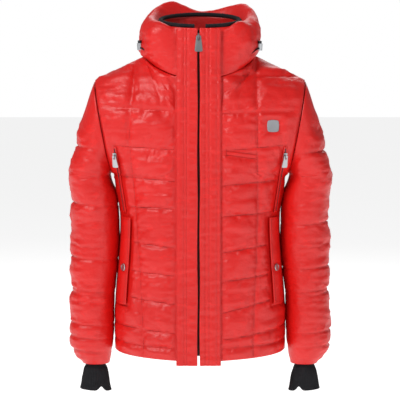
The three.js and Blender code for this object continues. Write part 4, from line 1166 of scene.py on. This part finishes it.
class JACKET_OT_pockets(bpy.types.Operator):
    """Build the hand pocket zips, the snapped flaps over them, and the chest welt"""
    bl_idname = "jacket.pockets"
    bl_label = "Pockets"

    def execute(self, context):
        for name, side in SIDES:
            self.closure(name, side)
            self.flap(name, side)
        self.welt()
        return {"FINISHED"}

    @staticmethod
    def closure(name, side):
        v, u = axes(80, 9)
        z = lerp(POCKET_TOP_Z + 0.004, POCKET_TOP_Z - POCKET_LENGTH, v)
        x = pocket_x(z) + (u - 0.5) * POCKET_STRIP * 0.7
        lips = 0.0003 * (1 + np.cos(2 * math.pi * (u - 0.5)))
        lips += 0.0001 * (1 + np.sin(z * 700)) * (np.abs(u - 0.5) > 0.3)
        outer, inner = patch(side, x, z, -5 * GAP, -5 * GAP - STRIP_THICK + lips)
        solid(f"pocket_{name}_lips", outer, inner, "shell_nylon", "black_tape", f"pocket_zip_{name}")
        run = np.linspace(POCKET_TOP_Z, POCKET_TOP_Z - POCKET_LENGTH + 0.004, 60)
        path = on_front(side, pocket_x(run), run, -5 * GAP - STRIP_THICK + 0.0003)
        teeth(f"pocket_teeth_{name}", path, POCKET_PITCH, POCKET_TOOTH)

    def flap(self, name, side):
        v, u = axes(110, 22)
        z = lerp(FLAP_TOP_Z, FLAP_TOP_Z - FLAP_LENGTH, v)
        ripple = 0.0006 * waves(stack(u * 0.03, 0 * u, z), (60, 1, 40), 70 + side, 2)
        snap = np.hypot((u - 0.4) * 0.026, z - FLAP_TOP_Z + SNAP_DROP)
        clear = smooth((snap - SNAP_REST) / 0.006)
        edge = border(u, v, 8, 30) * clear
        off = flap_off(u)
        face = off - FLAP_THICK - 0.0006 * edge - ripple * edge + 0.0009 * (1 - clear)
        outer, inner = patch(side, flap_x(u, z), z, off, face)
        solid(
            f"flap_{name}_cloth", outer, inner, "shell_nylon", "shell_fabric", f"flap_{name}",
            body=f"flap_{name}", edge=0.0006,
        )
        line, ends = np.linspace(0.025, 0.975, 120), np.linspace(0.09, 0.91, 20)
        paths = [self.on_flap(side, np.full_like(line, at), line) for at in (0.09, 0.91)]
        paths += [self.on_flap(side, ends, np.full_like(ends, at)) for at in (0.025, 0.975)]
        stitches(f"flap_{name}_stitches", paths, f"flap_{name}")

    def welt(self):
        v, u = axes(14, 60)
        rise = (v - 0.5) * WELT_HEIGHT
        high = -GAP - 0.0014 - 0.0006 * border(u, v, 20, 5)
        outer, inner = (self.on_welt(u, rise, off) for off in (high, -GAP))
        solid("chest_welt_cloth", outer, inner, "shell_nylon", "shell_fabric", "chest_welt", edge=0.0005)
        along, rise = np.linspace(0.02, 0.98, 40), np.linspace(-0.006, 0.006, 12)
        paths = [self.on_welt(along, at, -0.0004) for at in (-0.0050, 0.0050)]
        paths += [self.on_welt(at + 0 * rise, rise, -0.0022) for at in (0.0, 0.012, 1.0)]
        stitches("chest_welt_stitches", paths)

    @staticmethod
    def on_welt(along, rise, off):
        return on_front(1, WELT_X + along * WELT_LENGTH, WELT_Z - along * WELT_FALL + rise, off)

    @staticmethod
    def on_flap(side, u, v):
        z = FLAP_TOP_Z - v * FLAP_LENGTH
        return on_front(side, flap_x(u, z), z, flap_off(u) - FLAP_THICK - 0.0009)


LOOP_V, LOOP_THICK, LOOP_WIDTH, LOOP_SPAN = 0.1, 0.0012, 0.009, 0.064
LOCK_ALPHA, CORD_SPREAD, LOCK_V, CORD_END_V = 0.4 * math.pi, 0.1 * math.pi, 0.26, 0.2
LOCK_R, LOCK_LENGTH, LOCK_STAND, CORD_R = 0.0065, 0.015, 0.0008, 0.0015
CORD_STATIONS = (-0.0125, -0.0105, -0.008, 0, 0.008, 0.0105, 0.0125)  # across a lock's middle


class JACKET_OT_trims(bpy.types.Operator):
    """Build the hanger loop inside the neck and the plain chest patch"""
    bl_idname = "jacket.trims"
    bl_label = "Loop and patch"

    def execute(self, context):
        v, u = axes(8, 90)
        x = lerp(-LOOP_SPAN / 2, LOOP_SPAN / 2, u)
        place = np.arcsin(x / NECK_HALF) / math.pi
        wall = collar_at(place, np.full_like(x, LOOP_V), LINING_WALL, lining_point)
        out = smooth((LOOP_SPAN / 2 - np.abs(x)) / (LOOP_SPAN * 0.28))
        y, z = lerp(wall[..., 1] - 5 * GAP, LOOP[1], out), LOOP[2] + (v - 0.5) * LOOP_WIDTH
        solid(
            "hanger_loop_tape", stack(x, y, z), stack(x, y - LOOP_THICK, z), "zip_tape", "black_tape",
            "hanger_loop",
        )
        v, u = axes(25, 25)
        a, b = 2 * u - 1, 2 * v - 1
        half = (1 - 0.14 * (a * b) ** 2) * BADGE_SIZE / 2
        crown = 0.0006 * (1 - np.maximum(np.abs(a), np.abs(b)) ** 6)
        outer, inner = patch(1, BADGE_X + a * half, BADGE_Z + b * half, -GAP, -GAP - 0.0007 - crown)
        solid("plain_patch", outer, inner, "patch_rubber", "black_tape", "badge")
        return {"FINISHED"}


def rounded_route(points, count):
    """Centripetal Catmull-Rom curve through points."""
    points = [2 * points[0] - points[1], *points, 2 * points[-1] - points[-2]]
    route = []
    for p0, p1, p2, p3 in zip(points, points[1:], points[2:], points[3:]):
        knots = np.cumsum([0] + [np.linalg.norm(b - a) ** 0.5 for a, b in ((p0, p1), (p1, p2), (p2, p3))])
        for t in np.linspace(knots[1], knots[2], count, endpoint=False):
            a1, a2, a3 = (lerp(a, b, (t - knots[i]) / (knots[i + 1] - knots[i]))
                          for i, (a, b) in enumerate(((p0, p1), (p1, p2), (p2, p3))))
            b1 = lerp(a1, a2, (t - knots[0]) / (knots[2] - knots[0]))
            b2 = lerp(a2, a3, (t - knots[1]) / (knots[3] - knots[1]))
            route.append(lerp(b1, b2, (t - knots[1]) / (knots[2] - knots[1])))
    return np.array([*route, points[-2]])


class JACKET_OT_cords(bpy.types.Operator):
    """Build the hood cords that pass through the side locks"""
    bl_idname = "jacket.cords"
    bl_label = "Hood cords"

    def execute(self, context):
        for name, side in SIDES:
            s, stand = side * (1 - LOCK_ALPHA / math.pi), -GAP - LOCK_R - LOCK_STAND
            place, inward = collar_at(s, LOCK_V, stand), collar_at(s, LOCK_V, stand + 0.005)
            up = collar_at(s, LOCK_V + 0.03, stand) - place
            up /= np.linalg.norm(up)
            right = np.cross(inward - place, up)
            right /= np.linalg.norm(right)
            around = [side * (1 - (LOCK_ALPHA + end * side * CORD_SPREAD) / math.pi) for end in (-1, 1)]
            ends = [collar_at(at, CORD_END_V, -GAP - CORD_R) for at in around]
            middle = [place + right * x - up * LOCK_LENGTH / 5 for x in CORD_STATIONS]
            route = rounded_route([ends[0], *middle, ends[1]], 8) - LOOP
            curve = bpy.data.curves.new(f"hood_cord_{name}_braid", "CURVE")
            curve.dimensions, curve.bevel_depth, curve.bevel_resolution = "3D", CORD_R, 4
            curve.use_fill_caps = True
            spline = curve.splines.new("POLY")
            spline.points.add(len(route) - 1)
            spline.points.foreach_set("co", np.c_[route, np.ones(len(route))].ravel())
            curve.materials.append(looks()["zip_tape"])
            cord = bpy.data.objects.new(curve.name, curve)
            context.scene.collection.objects.link(cord)
            dress(cord, "root", "black_tape", f"hood_cord_{name}")
        return {"FINISHED"}


class JACKET_OT_seams(bpy.types.Operator):
    """Sew the visible stitch rows on the front panels and their hem"""
    bl_idname = "jacket.seams"
    bl_label = "Seam stitches"

    def execute(self, context):
        for name, side in SIDES:
            paths = []
            inner_x = start_of(side) + PLACKET_WIDTH + 0.003
            for line in range(len(ACROSS[side])):
                x = np.linspace(inner_x, 0.185, 80)
                paths.append(self.on_panel(side, x, across_height(side, line, x)))
            z = np.linspace(HEM_Z + 0.006, YOKE_Z, 240)
            paths.append(self.on_panel(side, UPRIGHT[side](z), z))
            x = np.linspace(inner_x, 0.186, 90)
            hem = HEM_Z + HEM_BAND
            paths += [self.on_panel(side, x, np.full_like(x, hem + gap)) for gap in (-0.003, 0.003)]
            stitches(f"front_{name}_stitches", paths)
        return {"FINISHED"}

    @staticmethod
    def on_panel(side, x, z):
        keep = z < YOKE_Z
        path = on_front(side, x[keep], z[keep], 0.0006)
        path[..., 2] -= hem_dip(path[..., 0], path[..., 2])
        return path


class JACKET_OT_metal(bpy.types.Operator):
    """Give the carried-over hardware its cast and brushed finishes"""
    bl_idname = "jacket.metal"
    bl_label = "Hardware finishes"

    def execute(self, context):
        mats = looks()
        silver = ["zip_slider", "zip_pull"]
        for name, _ in SIDES:
            silver += [f"{part}_{name}" for part in
                       ("pocket_slider", "pocket_pull", "snap_cap", "snap_socket", "snap_stud", "cord_lock")]
        for node in silver:
            self.paint(node, mats["silver_metal_look"])
        for node in ("zip_box", "lock_plunger_left", "lock_plunger_right"):
            self.paint(node, mats["tooth_plastic"])
        return {"FINISHED"}

    @staticmethod
    def paint(node, look):
        obj = bpy.data.objects[node]
        for slot in obj.material_slots:
            slot.material = look


FLOOR_REACH, FLOOR_Z, SOFT_LIGHT = 30.0, -0.95, 0.18
LIGHTS = (  # name, place, size and power
    ("key", (-1.5, -1.9, 1.9), 0.8, 58.0), ("fill", (2.0, -2.2, 0.2), 2.0, 10.0),
    ("rim", (0.4, 2.2, 1.6), 1.8, 24.0),
)
AIM = Vector((0.0, -0.10, -0.331))
SENSOR, VIEW_DISTANCE, VIEW_WIDTH, VIEW_TILT = 36.0, 3.0, 0.88, math.radians(5.0)


class JACKET_OT_stage(bpy.types.Operator):
    """Set the floor, the soft studio lights and the camera"""
    bl_idname = "jacket.stage"
    bl_label = "Stage"

    def execute(self, context):
        scene = context.scene
        corners = [
            (x * FLOOR_REACH, y * FLOOR_REACH, FLOOR_Z) for x, y in ((-1, -1), (1, -1), (1, 1), (-1, 1))
        ]
        floor = bpy.data.meshes.new("floor")
        floor.from_pydata(corners, [], [(0, 1, 2, 3)])
        floor.materials.append(floor_look("pale_floor", (0.93, 0.93, 0.93, 1.0)))
        self.place(scene, bpy.data.objects.new("floor", floor))
        sky = Look(bpy.data.worlds.new("studio"), "World Output")
        soft, pale = (
            sky.node("ShaderNodeBackground", {}, Color=WHITE, Strength=power) for power in (SOFT_LIGHT, 1.0)
        )
        seen = sky.node("ShaderNodeLightPath", {}, out="Is Camera Ray")
        scene.world = sky.finish(Surface=sky.node("ShaderNodeMixShader", {}, seen, soft, pale))
        for label, at, size, power in LIGHTS:
            light = bpy.data.lights.new(label, "AREA")
            light.size, light.energy = size, power
            self.place(scene, bpy.data.objects.new(label, light), Vector(at))
        lens = bpy.data.cameras.new("view")
        lens.sensor_width, lens.lens = SENSOR, SENSOR * VIEW_DISTANCE / VIEW_WIDTH
        behind = Vector((0, -math.cos(VIEW_TILT), math.sin(VIEW_TILT)))
        camera = bpy.data.objects.new("view", lens)
        scene.camera = self.place(scene, camera, AIM + VIEW_DISTANCE * behind)
        scene.view_settings.view_transform = "Standard"
        return {"FINISHED"}

    @staticmethod
    def place(scene, obj, at=None):
        """Puts an object in the scene, and one that has a place looks at the jacket from there."""
        scene.collection.objects.link(obj)
        if at is not None:
            obj.location = at
            obj.rotation_euler = (AIM - at).to_track_quat("-Z", "Y").to_euler()
        return obj


OPERATORS = (
    JACKET_OT_stage, JACKET_OT_cords, JACKET_OT_fronts, JACKET_OT_back, JACKET_OT_sleeves, JACKET_OT_gaiters,
    JACKET_OT_collar, JACKET_OT_closure, JACKET_OT_pockets, JACKET_OT_trims, JACKET_OT_seams, JACKET_OT_metal,
)


class JACKET_PT_panel(bpy.types.Panel):
    """Lists the steps that build the jacket"""
    bl_idname = "JACKET_PT_panel"
    bl_label = "Ski jacket"
    bl_space_type = "VIEW_3D"
    bl_region_type = "UI"
    bl_category = "Jacket"

    def draw(self, context):
        for group in (context.scene.jacket_sizes, context.scene.jacket_colours):
            for key in group.bl_rna.properties.keys():
                if key not in ("rna_type", "name"):
                    self.layout.prop(group, key)
        for operator in OPERATORS:
            self.layout.operator(operator.bl_idname)


CLASSES = (JacketSizes, JacketColours, *OPERATORS, JACKET_PT_panel)


def register():
    for cls in CLASSES:
        bpy.utils.register_class(cls)
    bpy.types.Scene.jacket_sizes = bpy.props.PointerProperty(type=JacketSizes)
    bpy.types.Scene.jacket_colours = bpy.props.PointerProperty(type=JacketColours)


def unregister():
    del bpy.types.Scene.jacket_colours
    del bpy.types.Scene.jacket_sizes
    for cls in reversed(CLASSES):
        bpy.utils.unregister_class(cls)


def main():
    register()
    for operator in OPERATORS:
        group, name = operator.bl_idname.split(".")
        getattr(getattr(bpy.ops, group), name)()


if __name__ == "__main__":
    main()
